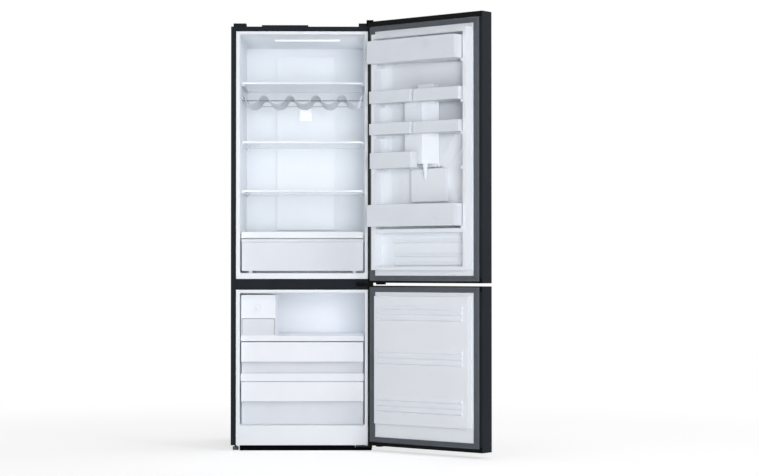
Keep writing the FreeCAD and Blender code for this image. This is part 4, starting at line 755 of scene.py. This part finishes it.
BEAD_PROFILE = [(0, 0), (0.3, 0.9), (0.7, 0.9), (1, 0)]
BEAD_WIDTH = 16
BEAD_X = (-225, 225)
BEAD_Z = (330, 1690)
bead = ring(BEAD_X, BEAD_Z, BEAD_WIDTH, BEAD_WIDTH, BEAD_PROFILE, BACK_FACE)
built("back_bead", *bead, zinc, "cabinet", "back_zinc")


# World and floor, in metres: the object's shadow near by, white further off

AMBIENT = 0.25
FLOOR_SIZE = 40
FLOOR_SHADE = (0.62, 0.62, 0.63, 1)
FLOOR_BOUNCE = (0.8, 0.8, 0.81, 1)
FLOOR_GLOW = 0.59
FADE = (0.9, 3.2)

world = bpy.data.worlds.new("studio")
bpy.context.scene.world = world
world.use_nodes = True
sky = world.node_tree
ray = node(sky, "LightPath").outputs
seen = node(sky, "Math", {0: ray["Is Camera Ray"], 1: ray["Is Glossy Ray"]}, operation="MAXIMUM").outputs[0]
seen = node(sky, "Math", {0: seen, 1: ray["Is Transmission Ray"]}, operation="MAXIMUM").outputs[0]
ambient = node(sky, "MapRange", {"Value": seen, "To Min": AMBIENT, "To Max": 1.0}).outputs["Result"]
sky.links.new(ambient, sky.nodes["Background"].inputs["Strength"])
sky.nodes["Background"].inputs["Color"].default_value = WHITE_LIGHT

bm = bmesh.new()
bmesh.ops.create_grid(bm, x_segments=1, y_segments=1, size=FLOOR_SIZE)
floor_mesh = bpy.data.meshes.new("floor")
bm.to_mesh(floor_mesh)
bm.free()
floor = bpy.data.objects.new("floor", floor_mesh)
bpy.context.scene.collection.objects.link(floor)
ground = bpy.data.materials.new("floor")
ground.use_nodes = True
tree = ground.node_tree
tree.nodes.remove(tree.nodes["Principled BSDF"])
ray = node(tree, "LightPath").outputs
place = node(tree, "TexCoord").outputs["Object"]
away = node(tree, "VectorMath", {0: place}, operation="LENGTH").outputs["Value"]
away = node(tree, "MapRange", {"Value": away, "From Min": FADE[0], "From Max": FADE[1]},
            interpolation_type="SMOOTHSTEP")
lit = node(tree, "BsdfDiffuse", {"Color": FLOOR_SHADE})
glow = node(tree, "Emission", {"Color": WHITE_LIGHT, "Strength": FLOOR_GLOW})
near_by = node(tree, "AddShader", {0: lit.outputs[0], 1: glow.outputs[0]})
far = node(tree, "Emission", {"Color": WHITE_LIGHT, "Strength": 1.0})
shown = node(tree, "MixShader", {0: away.outputs["Result"], 1: near_by.outputs[0], 2: far.outputs[0]})
plain = node(tree, "BsdfDiffuse", {"Color": FLOOR_BOUNCE})
pick = node(tree, "MixShader", {0: ray["Is Camera Ray"], 1: plain.outputs[0], 2: shown.outputs[0]})
tree.links.new(pick.outputs[0], tree.nodes["Material Output"].inputs["Surface"])
floor_mesh.materials.append(ground)


# Light and camera, in metres

LIGHTS = (
    # name, place, target, width, height, power
    ("key", (1.3, -8.0, 1.2), (0.2, 0, 0.9), 2.4, 2.4, 268),
    ("bounce", (0.3, -2.5, 0.15), (0.3, 0, 1.2), 2.4, 0.8, 5),
    ("side", (3.6, -3.2, 2.8), (0.5, -0.2, 1.2), 1.6, 1.6, 52),
    ("overhead", (0.2, 1.0, 4.4), (0.2, -0.2, 0), 3.5, 2.5, 60),
    ("fridge_fill", (0.03, 0.012, 1.31), (0.03, 0.5, 1.31), 0.44, 0.74, 0.12),
    ("left_fill", (0.25, 0.26, 1.31), (-0.25, 0.26, 1.31), 0.4, 0.78, 0.8),
    ("right_fill", (-0.25, 0.26, 1.31), (0.25, 0.26, 1.31), 0.4, 0.78, 0.42),
    ("door_fill", (-0.27, -1.12, 1.15), (0.5, -0.2, 1.15), 0.5, 0.7, 1.6),
    ("freezer_fill", (0.08, 0.12, 0.57), (0.17, 0.6, 0.56), 0.32, 0.12, 0.21),
    ("drawer_fill", (0, 0.1, 0.28), (0, 0.6, 0.28), 0.46, 0.26, 0.45),
    ("crisper_fill", (0, 0.1, 0.8), (0, 0.6, 0.8), 0.44, 0.1, 0.16),
)


def softbox(name, place, target, width, height, power):
    light = bpy.data.lights.new(name, "AREA")
    light.shape = "RECTANGLE"
    light.size = width
    light.size_y = height
    light.energy = power
    made = bpy.data.objects.new(name, light)
    bpy.context.scene.collection.objects.link(made)
    made.location = place
    made.rotation_euler = (Vector(target) - Vector(place)).to_track_quat("-Z", "Y").to_euler()
    made.visible_camera = False
    made.visible_glossy = False


for light_row in LIGHTS:
    softbox(*light_row)

CAMERA_PLACE = (0.233, -8.4, 0.756)
CAMERA_TILT = math.radians(90 + 0.886)
CAMERA_PAN = math.radians(-0.598)
optics = bpy.data.cameras.new("camera")
optics.sensor_width = 36
optics.lens = 95.55
optics.clip_end = 200
camera = bpy.data.objects.new("camera", optics)
bpy.context.scene.collection.objects.link(camera)
camera.location = CAMERA_PLACE
camera.rotation_euler = (CAMERA_TILT, 0, CAMERA_PAN)
bpy.context.scene.camera = camera
bpy.context.scene.view_settings.view_transform = "Standard"
